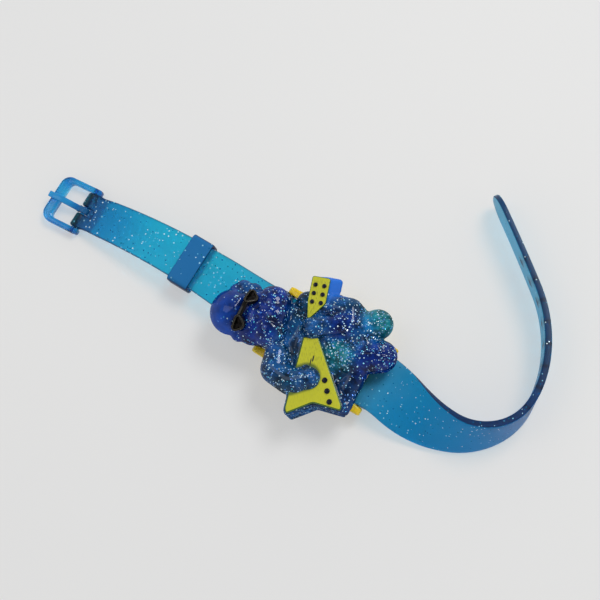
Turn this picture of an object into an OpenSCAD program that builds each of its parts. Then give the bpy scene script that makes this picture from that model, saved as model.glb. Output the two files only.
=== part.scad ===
// Toy flip-top watch: a moulded figure with a guitar is the hinged cover of a small digital watch
// on a two-piece strap. Millimetres. X runs along the strap, from the buckle half to the hole half,
// Z is up, and the origin is the middle of the case back, which lies on z = 0.

/* [Case] */
// Length of the case along the strap, without its lugs
case_l = 27; // [25:0.5:30]
// Width of the case across the strap
case_w = 23; // [22.5:0.5:26]
// Height of the case from the table to the rim under the cover
case_h = 8.4; // [8:0.1:10]
// Corner radius of the case seen from above
case_r = 4; // [3:0.25:5]
// Side wall of the case
wall = 1.5; // [1.2:0.1:2]
// Top wall of the case, around the display window
top_t = 1.2; // [1:0.1:1.6]
// Thickness of the case back
back_t = 1.2; // [1:0.1:1.5]
// Height of the raised rim that the cover closes over
rim_h = 0.8; // [0.5:0.1:1]
// Inset of the raised rim from the side of the case
rim_inset = 0.8; // [0.5:0.1:1]

/* [Lugs and strap pins] */
// Thickness of a lug across the strap
lug_t = 2.2; // [2:0.1:2.8]
// Radius of the rounded lug end
lug_r = 1.5; // [1.4:0.1:2]
// Height of the strap pins above the table
pin_z = 4.6; // [4:0.1:5]
// Radius of a strap pin
pin_r = 0.75; // [0.6:0.05:0.9]
// Radius of the sprung tip of a strap pin
pin_tip_r = 0.5; // [0.4:0.05:0.55]
// Reach of a pin tip into its lug
pin_tip_l = 1.7; // [1.2:0.1:2]

/* [Display and buttons] */
// Distance from each end of the case to the display window
window_end = 5.5; // [5:0.1:7]
// Distance from the hinge side of the case to the display window
window_edge = 4.9; // [4.5:0.1:6]
// Thickness of the clear window
window_t = 0.8; // [0.6:0.1:0.9]
// Ledge that carries the window all round
window_ledge = 0.9; // [0.6:0.1:1]
// Radius of a push button
button_r = 1.5; // [1.2:0.1:1.7]
// Distance from each end of the case to the middle of a button
button_end = 8.5; // [7.5:0.25:9]
// Distance from the far side of the case to the middle of the buttons
button_edge = 5.5; // [5.2:0.1:6]
// Distance from the display window to the middle of the buttons
button_gap = 4.6; // [4.2:0.1:5]
// Travel of a button when pressed
button_travel = 0.5; // [0.3:0.05:0.6]
// Radius of the button cell
cell_r = 6.25; // [5.5:0.25:6.5]
// Thickness of the button cell
cell_t = 1.6; // [1.2:0.1:1.8]
// Thickness of the circuit board
board_t = 0.8; // [0.6:0.1:1]
// Thickness of the display glass
glass_t = 1.6; // [1.2:0.1:1.7]

/* [Cover and hinge] */
// Thickness of the plate under the figure
plate_t = 1.5; // [1.2:0.1:2]
// Gap between the closed cover and the rim
cover_gap = 0.3; // [0.2:0.05:0.5]
// Radius of the hinge knuckles
knuckle_r = 1.5; // [1.3:0.1:1.7]
// Radius of the hinge pin
hinge_pin_r = 0.6; // [0.5:0.05:0.7]
// Length of the whole hinge
hinge_l = 13; // [12:0.5:15]
// Length of the cover's own knuckle in the middle
knuckle_l = 7; // [6:0.5:8]

/* [Strap] */
// Width of both straps at the lugs
strap_w = 16; // [15:0.1:16.5]
// Width of the buckle strap where the keeper sits
strap_w_mid = 12.7; // [12:0.1:13.2]
// Width of the buckle strap before it narrows for the buckle
strap_w_low = 11.2; // [10.8:0.1:11.8]
// Width of the buckle strap between the buckle's arms
strap_w_end = 10.7; // [10:0.1:11]
// Thickness of the straps
strap_t = 2; // [1.8:0.1:2.2]
// Radius of the strap ends round the strap pins
strap_end_r = 2; // [1.8:0.1:2.2]
// Length of the buckle strap from strap pin to buckle pin
short_l = 65.5; // [58:0.5:70]
// Rise of the buckle strap above a straight line between its pins
short_sag = 3; // [2:0.1:3.2]
// Sideways lean of the buckle strap at its strap pin, in degrees
short_lean = 6; // [0:0.5:7]
// Sideways turn of the buckle strap over its whole length, in degrees
short_turn = 14; // [0:0.5:16]
// Length of the hole strap from its strap pin to its tip, along its curve
long_l = 109.5; // [100:0.5:120]
// Width of the hole strap near its tip
strap_w_tip = 11.4; // [10:0.1:12]
// Thickness of the hole strap at its tip
strap_t_tip = 1.5; // [1.2:0.1:1.8]
// Radius of an adjusting hole
hole_r = 1; // [0.8:0.05:1.2]
// Distance from one adjusting hole to the next
hole_pitch = 6; // [5:0.25:6.5]
// Number of adjusting holes
hole_count = 8; // [5:1:9]
// Distance from the strap's tip to the first adjusting hole
hole_start = 20; // [16:0.5:24]

/* [Keeper] */
// Length of the keeper along the strap
keeper_l = 6.5; // [5:0.25:8]
// Wall of the keeper
keeper_t = 0.8; // [0.7:0.1:1.2]
// Place of the keeper along the buckle strap, from the strap pin
keeper_s = 29; // [27:0.5:34]

/* [Buckle] */
// Height of the buckle pin above the table
buckle_z = 1.6; // [1.5:0.1:2]
// Length of the buckle frame beyond its pin
buckle_l = 10.3; // [9.6:0.1:12]
// Width of the buckle's outer bar
buckle_bar = 2.9; // [2.2:0.1:3.2]
// Width of each side arm of the buckle
buckle_arm = 1.6; // [1.4:0.1:2]
// Thickness of the buckle frame
buckle_t = 2.6; // [2.2:0.1:3]
// Radius of the buckle pin
buckle_pin_r = 0.65; // [0.5:0.05:0.7]
// Radius of the buckle strap's end round the buckle pin
buckle_end_r = 1.5; // [1.4:0.05:1.6]
// Width of the prong
prong_w = 1.7; // [1.4:0.1:2]
// Thickness of the prong
prong_t = 1.4; // [1.2:0.1:1.6]

/* [Figure] */
// Length of the whole figure along the strap
figure_l = 51; // [46:0.5:54]
// Height of the guitar's flat front above the cover plate
guitar_z = 3.6; // [3.2:0.1:4.2]
// Thickness of the yellow guitar front
face_t = 0.7; // [0.5:0.1:1]
// Half width of the guitar's tail
tail_half = 7.7; // [7:0.1:8.4]
// Height of the tail's underside above the table
tail_z = 3; // [2.5:0.1:6]
// Thickness of the sunglasses
glasses_t = 1.3; // [1:0.1:1.6]
// Radius of the round pegs on the headstock
peg_r = 0.6; // [0.4:0.02:0.7]
// Radius of the round knobs on the guitar body
knob_r = 0.74; // [0.5:0.02:0.85]

/* [Hidden] */
$fn = 48;

// Colours
yellow = "#e3c019";
guitar_yellow = "#c3c22e";
figure_blue = "#16307f";
strap_blue = "#1c8fc4";
buckle_blue = "#2a86cf";
steel = "#b9bcc2";

// Clearances
fit = 0.05;
side_gap = 0.25;
end_gap = 0.3;
eps = 0.01;

// Heights in the case, from the back upwards
cavity_top = case_h - top_t;
clip_t = 0.3;
clip_z = back_t + 0.1;
cell_z = clip_z + clip_t;
board_z = cell_z + cell_t + 0.1;
strip_z = board_z + board_t;
glass_z = cavity_top - glass_t;
cavity_l = case_l - 2 * wall;
cavity_w = case_w - 2 * wall;
cavity_r = case_r - wall;

// Case screws stand in bosses in the corners of the cavity
boss_r = 1.7;
screw_r = 0.75;
screw_head_r = 1.4;
screw_head_t = 0.7;
screw_sink = 0.2;
screw_top = case_h - top_t - 1;
boss_x = cavity_l / 2 - boss_r + 0.3;
boss_y = cavity_w / 2 - boss_r + 0.3;

// Window, buttons and display, placed from the sides of the case
window_l = case_l - 2 * window_end;
window_w = case_w - window_edge - button_edge - button_gap;
window_y = case_w / 2 - window_edge - window_w / 2;
button_x = case_l / 2 - button_end;
button_y = case_w / 2 - button_edge;
pane_l = window_l + 2 * window_ledge;
pane_w = window_w + 2 * window_ledge;
glass_l = window_l + 1;
glass_w = window_w + 2;
strip_w = 1.2;

// Buttons and the domes under them
flange_r = button_r + 0.6;
flange_t = 0.8;
button_proud = cover_gap / 2;
dome_h = 0.4;
dome_r = 1.6;
stem_r = 0.9;
stem_z = strip_z + dome_h + button_travel + 0.1;

// Lugs and strap pins
pin_x = case_l / 2 + strap_end_r + end_gap;
lug_y = strap_w / 2 + side_gap;

// Hinge at the side of the case, along X
plate_z = case_h + cover_gap;
plate_top = plate_z + plate_t;
hinge_y = case_w / 2 + knuckle_r + end_gap;
hinge_z = plate_z + plate_t / 2;
ear_gap = 0.2;
web_h = 2.1;

// Buckle strap: an arc in the X-Z plane from the strap pin to the buckle pin
short_drop = pin_z - buckle_z;
short_chord = sqrt(short_l * short_l + short_drop * short_drop);
short_r = (short_chord * short_chord / 4 + short_sag * short_sag) / (2 * short_sag);
short_half = asin(short_chord / 2 / short_r);
short_slope = atan2(short_drop, short_l);
short_mid = [-pin_x - short_l / 2, (pin_z + buckle_z) / 2];
short_to_centre = short_r - short_sag;
short_centre = short_mid + short_to_centre * [sin(short_slope), -cos(short_slope)];
short_arc_l = short_r * 2 * short_half * PI / 180;
short_widths = [
    [0, strap_w], [keeper_s * 0.36, strap_w_mid + 0.45 * (strap_w - strap_w_mid)], [keeper_s, strap_w_mid],
    [short_arc_l - 8, strap_w_low], [short_arc_l - 4, strap_w_end], [short_arc_l, strap_w_end]
];

// Hole strap: arcs seen from above, each a share of its length and a turn to the left in degrees
long_bends = [
    [0.073, -14], [0.091, 14], [0.064, 12], [0.119, 40],
    [0.096, 38], [0.137, 26], [0.164, 26], [0.256, 3]
];
long_arcs = [for (b = long_bends) [b[0] * long_l, b[1]]];
twist_from = 5;
twist_to = 53;
twist_end = 93;
twist_ease = 1.6;
settle_l = 20;
long_root = strap_end_r - 0.2;
tip_l = 6;
long_widths = [
    [0, strap_w], [long_l * 0.32, strap_w_tip + 0.5 * (strap_w - strap_w_tip)],
    [long_l * 0.7, strap_w_tip + 0.1 * (strap_w - strap_w_tip)], [long_l, strap_w_tip]
];
long_rings = 48;
strap_chamfer = 0.35;

// Keeper round the buckle strap
keeper_edge = lookup(keeper_s - keeper_l / 2, short_widths);
keeper_in_w = keeper_edge + 2 * 0.15;
keeper_in_h = 2 * strap_t + 0.4;
keeper_play = 0.15;
keeper_r = 1.3;

// Buckle and prong, from the buckle pin outwards
buckle_x = -pin_x - short_l;
buckle_gap = strap_w_end + 2 * 0.3;
buckle_w = buckle_gap + 2 * buckle_arm;
buckle_ear = buckle_end_r + 0.5;
buckle_r = 3;
inner_r = 1.3;
ear_r = 0.6;
buckle_skew = 5;
slot_w = prong_w + 0.8;
slot_l = 3.2;
prong_r = prong_t + 0.2;
prong_rest = buckle_t / 2 + 0.15;
prong_over = 0.8;

// Figure, in heights above the cover plate; arms and masses are drawn at a length of 51
figure_k = figure_l / 51;
clear_y = -case_w / 2 - 0.5;
head_x = -case_l / 2 - 2 * strap_end_r - 1.4;
hand_gap = 0.12;
left_elbow = [-2.2, -12.6, 2.2, 3.7];
left_hand = [2.1, -9.3, 3.8, 3.1];
right_elbow = [3.8, 8.8, 2.6, 3.2];
right_hand = [-4.3, 2.6, 4, 3];

// Guitar body, from the neck at its own origin down to the forked tail
guitar_at = [-2.7, -0.65];
guitar_turn = 34;
guitar_neck = 2.3;
guitar_edge = 0.4;
neck_top = 1.3;
tail_end = -19.3;
tail_notch = -17.6;
tail_tip_r = 1.3;
knob_at = [3.4, -10.7];
knob_step = [0.5, -2.9];

// Headstock, from its tip under the hand up to its square end
stock_at = [-5.4, 4.75];
stock_turn = 20.5;
stock_l = 11.6;
stock_half = 2.5;
stock_tip = 0.3;
stock_lean = -1.3;
stock_r = 0.7;
stock_shift = [2.9, 0.95];
peg_step = [1.2, 2.35];

// Sunglasses
glasses_at = [-21.9, -2.85, 4.35];
glasses_turn = 6;
glasses_half = 3.4;
glasses_roll = 32;
lens_r = 2.4;
lens_drop = 1.65;
brow_r = 0.6;
cheek_r = 1.5;

// Plane and list functions

// Point and heading at distance s along a chain of arcs: [x, y, heading]
function along_arcs(arcs, s, from, i = 0) =
    let (reach = min(s, arcs[i][0]), turn = arcs[i][1] * reach / arcs[i][0],
         step = reach * half_sinc(turn),
         mid = from[2] + turn / 2,
         to = [from[0] + step * cos(mid), from[1] + step * sin(mid), from[2] + turn])
    s <= arcs[i][0] || i == len(arcs) - 1 ? to : along_arcs(arcs, s - arcs[i][0], to, i + 1);

// Chord of an arc as a share of its length
function half_sinc(turn) = abs(turn) < 0.01 ? 1 : sin(turn / 2) / (turn * PI / 360);

function smooth(t) = let (u = min(1, max(0, t))) u * u * (3 - 2 * u);

// Strap section as [across, up] pairs, with chamfered edges
function strap_section(w, t) =
    let (a = w / 2, b = t / 2, c = strap_chamfer)
    [[a - c, b], [-a + c, b], [-a, b - c], [-a, -b + c], [-a + c, -b], [a - c, -b], [a, -b + c], [a, b - c]];

// Twist of the hole strap, flat at the pin and on its edge further out
function twist_at(s) =
    let (t = min(1, max(0, (s - twist_from) / (twist_to - twist_from))))
    twist_end * (1 - pow(1 - t, twist_ease));

// Width of the hole strap, with a rounded tip
function long_width(s) =
    let (w = lookup(s, long_widths), t = max(0, (s - long_l + tip_l) / tip_l))
    w * sqrt(max(0.06, 1 - t * t));

// Thickness of the hole strap, less over its second half
function long_thick(s) = strap_t + (strap_t_tip - strap_t) * smooth(2 * s / long_l - 1);

// Height of the hole strap's middle line: it leaves the top of its pin loop and then lies on the table
function long_height(s) =
    let (turn = twist_at(s), lift = pin_z + strap_end_r - strap_t)
    lookup(s, long_widths) / 2 * sin(turn) + strap_t / 2 * abs(cos(turn)) + lift * (1 - smooth(s / settle_l));

// Local frame of the hole strap: [place, across, up]
function long_frame(s) =
    let (p = along_arcs(long_arcs, s, [pin_x, 0, 0]), turn = twist_at(s),
         left = [-sin(p[2]), cos(p[2]), 0], z = [0, 0, 1])
    [[p[0], p[1], long_height(s)], cos(turn) * left + sin(turn) * z, cos(turn) * z - sin(turn) * left];

function long_ring(s) =
    let (f = long_frame(s))
    [for (q = strap_section(long_width(s), long_thick(s))) f[0] + q[0] * f[1] + q[1] * f[2]];

// Distance of ring i along the hole strap, from the back of its pin loop, closer together towards the tip
function long_place(i) = (long_l + long_root) * sin(90 * i / (long_rings - 1)) - long_root;

// Angle of the buckle strap's arc at distance s, from the upright through its centre
function short_angle(s) = short_half - short_slope - s / short_r * 180 / PI;

// Place of the buckle strap's middle line seen from above, bent to one side
function short_x(s) = short_centre[0] + short_r * sin(short_angle(s));
function short_y(s) = (short_lean * s - short_turn * s * s / (2 * short_arc_l)) * PI / 180;

// One edge of the buckle strap seen from above, from the strap pin to the buckle pin
function short_edge(side) =
    [for (i = [0 : 16]) let (s = short_arc_l * i / 16)
        [short_x(s), short_y(s) + side * lookup(s, short_widths) / 2]];

// Triangles of a tube of rings with n points each, closed at both ends
function tube_faces(rings, n) = concat(
    [for (k = [1 : n - 2]) [0, k, k + 1]],
    [for (i = [0 : rings - 2], k = [0 : n - 1])
        each let (a = i * n + k, b = i * n + (k + 1) % n) [[a, a + n, b + n], [a, b + n, b]]],
    [for (k = [1 : n - 2]) let (o = (rings - 1) * n) [o, o + k + 1, o + k]]
);

// Shared shapes

module rounded_rect(l, w, r) {
    square([l - 2 * r, w], center = true);
    square([l, w - 2 * r], center = true);
    for (x = [-1, 1], y = [-1, 1])
        translate([x * (l / 2 - r), y * (w / 2 - r)]) circle(r);
}

module rounded_block(l, w, r, z0, z1) {
    translate([0, 0, z0]) linear_extrude(z1 - z0) rounded_rect(l, w, r);
}

module box(x, y, z) {
    translate([x[0], y[0], z[0]]) cube([x[1] - x[0], y[1] - y[0], z[1] - z[0]]);
}

// Cylinder along Y, centred on y = 0
module bar_y(r, l) {
    rotate([90, 0, 0]) cylinder(r = r, h = l, center = true);
}

// Cylinder along X, centred on x = 0
module bar_x(r, l) {
    rotate([0, 90, 0]) cylinder(r = r, h = l, center = true);
}

// Children at the four case screws
module at_screws() {
    for (x = [-1, 1], y = [-1, 1]) translate([x * boss_x, y * boss_y, 0]) children();
}

// Children at the two strap pins
module at_strap_pins() {
    for (x = [-1, 1]) translate([x * pin_x, 0, pin_z]) children();
}

// Children at one push button: side is -1 or 1
module at_button(side) {
    translate([side * button_x, -button_y, 0]) children();
}

// Board-shaped plate that leaves the corner bosses free
module inner_plate(z0, z1) {
    difference() {
        rounded_block(cavity_l - 2 * side_gap, cavity_w - 2 * side_gap, cavity_r, z0, z1);
        at_screws() cylinder(r = boss_r + side_gap, h = 3 * case_h, center = true);
    }
}

// Case

module lug() {
    translate([0, 0, pin_z]) rotate([90, 0, 0]) linear_extrude(lug_t) {
        translate([pin_x, 0]) circle(lug_r);
        translate([case_l / 2 - wall, -lug_r]) square([pin_x - case_l / 2 + wall, 2 * lug_r]);
    }
}

module lugs() {
    for (x = [0, 1], y = [0, 1])
        mirror([x, 0, 0]) mirror([0, y, 0]) translate([0, lug_y + lug_t, 0]) lug();
}

// Hinge ear: a round eye on a web from the side of the case
module hinge_ear(x0, x1) {
    translate([x0, hinge_y, hinge_z]) rotate([90, 0, 90]) linear_extrude(x1 - x0) {
        circle(knuckle_r);
        translate([case_w / 2 - wall - hinge_y, case_h - rim_h - web_h - hinge_z])
            square([hinge_y - case_w / 2 + wall, web_h + rim_h - cover_gap]);
        translate([-knuckle_r * 0.8, case_h - rim_h - web_h - hinge_z])
            square([knuckle_r * 0.8, hinge_z - case_h + rim_h + web_h]);
    }
}

module case_shell() {
    color(yellow) difference() {
        union() {
            rounded_block(case_l, case_w, case_r, back_t, case_h - rim_h);
            rounded_block(case_l - 2 * rim_inset, case_w - 2 * rim_inset, case_r - rim_inset, back_t, case_h);
            lugs();
            hinge_ear(-hinge_l / 2, -knuckle_l / 2 - ear_gap);
            hinge_ear(knuckle_l / 2 + ear_gap, hinge_l / 2);
        }
        difference() {
            rounded_block(cavity_l, cavity_w, cavity_r, back_t - 1, cavity_top);
            at_screws() cylinder(r = boss_r, h = 3 * case_h, center = true);
        }
        translate([0, window_y, 0]) {
            rounded_block(window_l, window_w, 1, cavity_top - 1, case_h + 1);
            rounded_block(pane_l, pane_w, 1.5, case_h - window_t, case_h + 1);
        }
        for (side = [-1, 1]) at_button(side) cylinder(r = button_r + fit, h = 3 * case_h);
        at_screws() translate([0, 0, back_t - 1]) cylinder(r = screw_r + fit, h = screw_top + 0.3 - back_t + 1);
        at_strap_pins() bar_y(pin_tip_r + fit, 2 * (lug_y + pin_tip_l + 0.2));
        translate([0, hinge_y, hinge_z]) bar_x(hinge_pin_r + fit / 2, hinge_l + 1);
    }
}

module case_back() {
    color(yellow) difference() {
        rounded_block(case_l, case_w, case_r, 0, back_t);
        at_screws() {
            translate([0, 0, -1]) cylinder(r = screw_head_r + fit, h = screw_sink + screw_head_t + 1);
            cylinder(r = screw_r + fit, h = 3 * back_t, center = true);
        }
    }
}

// Pan-head screws with a cross slot, driven in from the back
module case_screws() {
    color(steel) at_screws() difference() {
        union() {
            translate([0, 0, screw_sink]) cylinder(r = screw_head_r, h = screw_head_t);
            translate([0, 0, screw_sink]) cylinder(r = screw_r, h = screw_top - screw_sink);
        }
        for (a = [0, 90]) rotate(a)
            translate([0, 0, screw_sink]) cube([2 * screw_r, 0.3, 0.7], center = true);
    }
}

module window() {
    color("lightcyan", 0.4) translate([0, window_y, 0])
        rounded_block(pane_l - 2 * fit, pane_w - 2 * fit, 1.5 - fit, case_h - window_t, case_h);
}

// Display: a long lower glass with a shorter upper one on it
module display_glass() {
    color("darkseagreen") translate([0, window_y, 0]) {
        box([-glass_l / 2, glass_l / 2], [-glass_w / 2, glass_w / 2], [glass_z, glass_z + glass_t / 2]);
        box([-glass_l / 2, glass_l / 2], [-glass_w / 2 + strip_w, glass_w / 2],
            [glass_z + glass_t / 2 - eps, cavity_top]);
    }
}

// Carrier that holds the glass, the contact strips and the board together
module module_frame() {
    color("whitesmoke") difference() {
        inner_plate(strip_z, cavity_top);
        translate([0, window_y, 0])
            box([-glass_l / 2 - fit, glass_l / 2 + fit], [-glass_w / 2 - fit, glass_w / 2 + fit], [0, case_h]);
        for (side = [-1, 1]) at_button(side) cylinder(r = flange_r + 0.2, h = 3 * case_h);
    }
}

// Two rubber strips that carry the signals from the board up to the glass
module contact_strips() {
    color("dimgray") for (y = [-1, 1])
        translate([0, window_y + y * (glass_w / 2 - strip_w / 2), 0])
            box([-glass_l / 2 + 0.5, glass_l / 2 - 0.5], [-strip_w / 2, strip_w / 2], [strip_z, glass_z]);
}

module circuit_board() {
    color("forestgreen") inner_plate(board_z, strip_z);
}

// Sprung metal domes that the buttons close, and that push the buttons back
module contact_domes() {
    color(steel) for (side = [-1, 1]) at_button(side)
        translate([0, 0, strip_z]) cylinder(r1 = dome_r, r2 = dome_r * 0.6, h = dome_h);
}

module button_cell() {
    lip = 0.5;
    color(steel) translate([0, 0, cell_z]) {
        cylinder(r = cell_r - lip, h = cell_t);
        translate([0, 0, 0.3]) cylinder(r = cell_r, h = cell_t - 0.3);
    }
}

// Sheet-metal clip: a strip under the cell with an upright tab at each end
module battery_clip() {
    clip_w = 4;
    reach = cell_r + 0.4 + clip_t;
    color("goldenrod") {
        box([-reach, reach], [-clip_w / 2, clip_w / 2], [clip_z, cell_z]);
        for (x = [0, 1]) mirror([x, 0, 0])
            box([reach - clip_t, reach], [-clip_w / 2, clip_w / 2], [clip_z, board_z]);
    }
}

// Turned button: a cap through the top wall, a flange that keeps it in and a stem to the dome
module push_button(side) {
    color("orange") at_button(side) rotate_extrude() polygon([
        [0, stem_z], [stem_r, stem_z], [stem_r, cavity_top - flange_t], [flange_r, cavity_top - flange_t],
        [flange_r, cavity_top], [button_r, cavity_top], [button_r, case_h + button_proud], [0, case_h + button_proud]
    ]);
}

module mode_button() { push_button(-1); }

module set_button() { push_button(1); }

// Sprung bars between the lugs, thinner at their tips
module strap_pins() {
    tip_y = lug_y + pin_tip_l;
    shoulder_y = lug_y - 0.3;
    color(steel) at_strap_pins() rotate([90, 0, 0]) rotate_extrude() polygon([
        [0, -tip_y], [pin_tip_r, -tip_y], [pin_tip_r, -shoulder_y], [pin_r, -shoulder_y],
        [pin_r, shoulder_y], [pin_tip_r, shoulder_y], [pin_tip_r, tip_y], [0, tip_y]
    ]);
}

module hinge_pin() {
    color(steel) translate([0, hinge_y, hinge_z]) bar_x(hinge_pin_r, hinge_l - 0.4);
}

// Cover

module cover_plate() {
    color(figure_blue) difference() {
        union() {
            rounded_block(case_l - 2 * rim_inset, case_w - 2 * rim_inset, case_r - rim_inset, plate_z, plate_top);
            translate([0, hinge_y, hinge_z]) bar_x(knuckle_r, knuckle_l);
            box([-knuckle_l / 2, knuckle_l / 2], [0, hinge_y], [plate_z, plate_top]);
        }
        translate([0, hinge_y, hinge_z]) bar_x(hinge_pin_r + fit, hinge_l);
    }
}

// Ball-ended limb through points, each [x, y, z, r], in heights above the cover plate
module limb(points) {
    for (i = [0 : len(points) - 2]) hull() for (p = [points[i], points[i + 1]])
        translate([p[0], p[1], p[2]]) sphere(p[3], $fn = 26);
}

// Egg-shaped mass
module mass(at, radii) {
    hull() translate(at) scale(radii) sphere(1, $fn = 32);
}

// Children in the guitar's own plane: Y along its neck, Z up from the cover plate
module in_guitar() {
    translate(figure_k * guitar_at) rotate(guitar_turn) children();
}

// Children in the headstock's own plane
module in_headstock() {
    translate(figure_k * stock_at) rotate(stock_turn) children();
}

// Outline of the guitar body, with a forked tail
module guitar_outline() {
    difference() {
        hull() {
            translate([0, neck_top]) square([2 * guitar_neck, eps], center = true);
            for (x = [-1, 1])
                translate([x * (tail_half - tail_tip_r), tail_end + tail_tip_r]) circle(tail_tip_r, $fn = 24);
        }
        hull() {
            translate([0, tail_notch]) circle(1, $fn = 24);
            for (x = [-1, 1]) translate([x * tail_half * 1.3, 2 * tail_end - tail_notch]) circle(1, $fn = 24);
        }
    }
}

// Outline of the headstock, wider towards its end, with its tip to one side
module headstock_outline() {
    hull() {
        translate([stock_lean, 0]) square([2 * stock_tip, eps], center = true);
        for (x = [-1, 1], y = [stock_l - stock_r, stock_l * 0.42])
            translate([x * (stock_half - stock_r), y]) circle(stock_r, $fn = 20);
    }
}

// Soft forms of the figure, lying on its back: head at the buckle end, feet at the other
module figure_forms() {
    scale(figure_k) {
        mass([-25.9, -4.6, 0.9], [6.2, 6.4, 5.6]);
        limb([[-24.6, -9.4, 1.8, 0.9], [-25, -7.2, 4.5, 1], [-25, -4, 5.8, 1]]);
        limb([[-25, -4, 5.8, 1], [-25, -0.8, 5.1, 1], [-24.8, 1.6, 2.6, 0.9]]);
        mass([-18.6, -2, 1], [6.4, 8.2, 5.4]);
        mass([-17.2, 3.2, 1.8], [5, 4.7, 4.6]);
        mass([-14.2, -3.7, 2.5], [5, 4.8, 4.4]);
        mass([-15, 0, 3.6], [4, 4.4, 3.6]);
        mass([-18, -1.2, 6.2], [1.2, 1.8, 1.2]);
        limb([[-26.8, 2.6, 0.8, 2.4], [-23.8, 1.6, 0.8, 2.4]]);
        limb([[-21.2, -8.8, 0.8, 2.2], [-20.4, -7.2, 0.8, 2.4]]);
        mass([-9.4, 0.4, -0.4], [5.5, 8.2, 3.6]);
        mass([0.6, 0.8, -0.6], [13, 13.4, 4.8]);
        mass([8.2, 1.2, 1], [4.8, 5, 4.2]);
        limb([[-9, -8, 1.4, 3.6], [-7.4, -11.8, 1.4, 4.1], left_elbow, left_hand]);
        limb([[-9.4, 8, 0.4, 3.5], [-5, 10, 1, 3.4], [1.6, 11.9, 1.4, 3.7], right_elbow, right_hand]);
        limb([[3.6, 12, 1, 3], [8.2, 8.4, 2.4, 2.5], [11.8, 4.4, 2.4, 2.4], [12.2, 0.4, 1.2, 2.3]]);
        limb([[6, 8, 0.6, 4.4], [9.8, 12.7, 1.2, 4.2]]);
        limb([[9, 2, 0.6, 4.6], [15, 5.7, 1.2, 4.5]]);
        limb([[11.8, -8.8, -0.6, 3.5], [11.6, -2, -0.4, 3.4]]);
    }
}

// Blue body of the guitar under its yellow front; the tail hangs past the side of the case
module guitar_block() {
    depth = plate_top - tail_z;
    in_guitar() translate([0, 0, -depth]) linear_extrude(guitar_z + depth) offset(guitar_edge) guitar_outline();
    in_headstock() hull() {
        translate([0, 0, guitar_z - 0.4]) linear_extrude(0.4) headstock_outline();
        translate(stock_shift) linear_extrude(guitar_z / 3) headstock_outline();
    }
}

// Space below the figure: the plate and case, the strap under the head, and the hinge
module figure_clearance() {
    far = 60;
    box([head_x, far], [clear_y, far], [-far, 0]);
    box([-far, 0], [-far, far], [-far, -plate_t]);
    box([-far, far], [-far, far], [-far, tail_z - plate_top]);
    translate([0, hinge_y, hinge_z - plate_top]) bar_x(knuckle_r + 0.4, hinge_l + 1);
}

module figure() {
    color(figure_blue) translate([0, 0, plate_top]) difference() {
        union() {
            figure_forms();
            guitar_block();
        }
        figure_clearance();
        translate([0, 0, guitar_z]) linear_extrude(face_t + 6) difference() {
            union() {
                in_guitar() offset(hand_gap) guitar_outline();
                in_headstock() offset(hand_gap) headstock_outline();
            }
            arms_plan(0);
        }
        sunglasses_at() sunglasses_form(fit, 8);
    }
}

// Forearms and hands seen from above, grown by a gap
module arms_plan(gap) {
    for (arm = [[left_elbow, left_hand], [right_elbow, right_hand]])
        hull() for (p = figure_k * arm) translate([p[0], p[1]]) circle(p[3] + gap, $fn = 32);
}

// Guitar front from an outline, cut clear of the arms that lie over it
module guitar_front() {
    translate([0, 0, plate_top + guitar_z]) linear_extrude(face_t) difference() {
        children();
        arms_plan(hand_gap);
    }
}

module guitar_face() {
    color(guitar_yellow) guitar_front() in_guitar() guitar_outline();
}

module headstock_face() {
    color(guitar_yellow) guitar_front() in_headstock() headstock_outline();
}

// Round pegs in two rows on the headstock
module headstock_pegs() {
    color("#101418") translate([0, 0, plate_top + guitar_z + face_t]) in_headstock()
        for (x = [-1, 1], i = [0 : 2])
            translate([x * peg_step[0], stock_l - peg_step[1] * (i + 1)]) cylinder(r = peg_r, h = 0.35);
}

// Three knobs down one wing of the guitar
module guitar_knobs() {
    color("#101418") translate([0, 0, plate_top + guitar_z + face_t]) in_guitar()
        for (i = [0 : 2]) translate(knob_at + i * knob_step) cylinder(r = knob_r, h = 0.35);
}

module sunglasses_at() {
    translate(figure_k * glasses_at) rotate(glasses_turn) children();
}

// Outline of one lens: long and flat along the brow, rounder towards the cheek
module lens_outline(gap) {
    hull() {
        translate([lens_drop - cheek_r, 0]) circle(cheek_r + gap, $fn = 32);
        for (y = [-1, 1])
            translate([brow_r - lens_drop, y * (lens_r - brow_r)]) circle(brow_r + gap, $fn = 20);
    }
}

// Two lenses turned out to the sides and a bridge over the nose, grown by a gap and drawn out to a height
module sunglasses_form(gap, height) {
    rise = lens_r * sin(glasses_roll);
    for (side = [-1, 1]) translate([0, side * glasses_half, 0]) rotate([-side * glasses_roll, 0, 0])
        translate([0, 0, -gap]) linear_extrude(height) lens_outline(gap);
    box([-1.3 - gap, -0.1 + gap], [-glasses_half / 2 - gap, glasses_half / 2 + gap], [rise * 0.7 - gap, rise * 0.7 + height]);
}

module sunglasses() {
    color("#14110f") translate([0, 0, plate_top]) sunglasses_at() sunglasses_form(0, glasses_t);
}

// Straps

// Round band about the centre of the buckle strap's arc
module short_band(r) {
    translate([short_centre[0], 0, short_centre[1]]) bar_y(r, 2 * strap_w, $fn = 720);
}

// Outline of the buckle strap from above
module short_plan() {
    other = short_edge(-1);
    polygon(concat(short_edge(1), [for (i = [1 : len(other)]) other[len(other) - i]]));
}

// Children at the buckle pin, at the end of the bent strap
module at_buckle() {
    translate([buckle_x, short_y(short_arc_l), buckle_z]) children();
}

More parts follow.
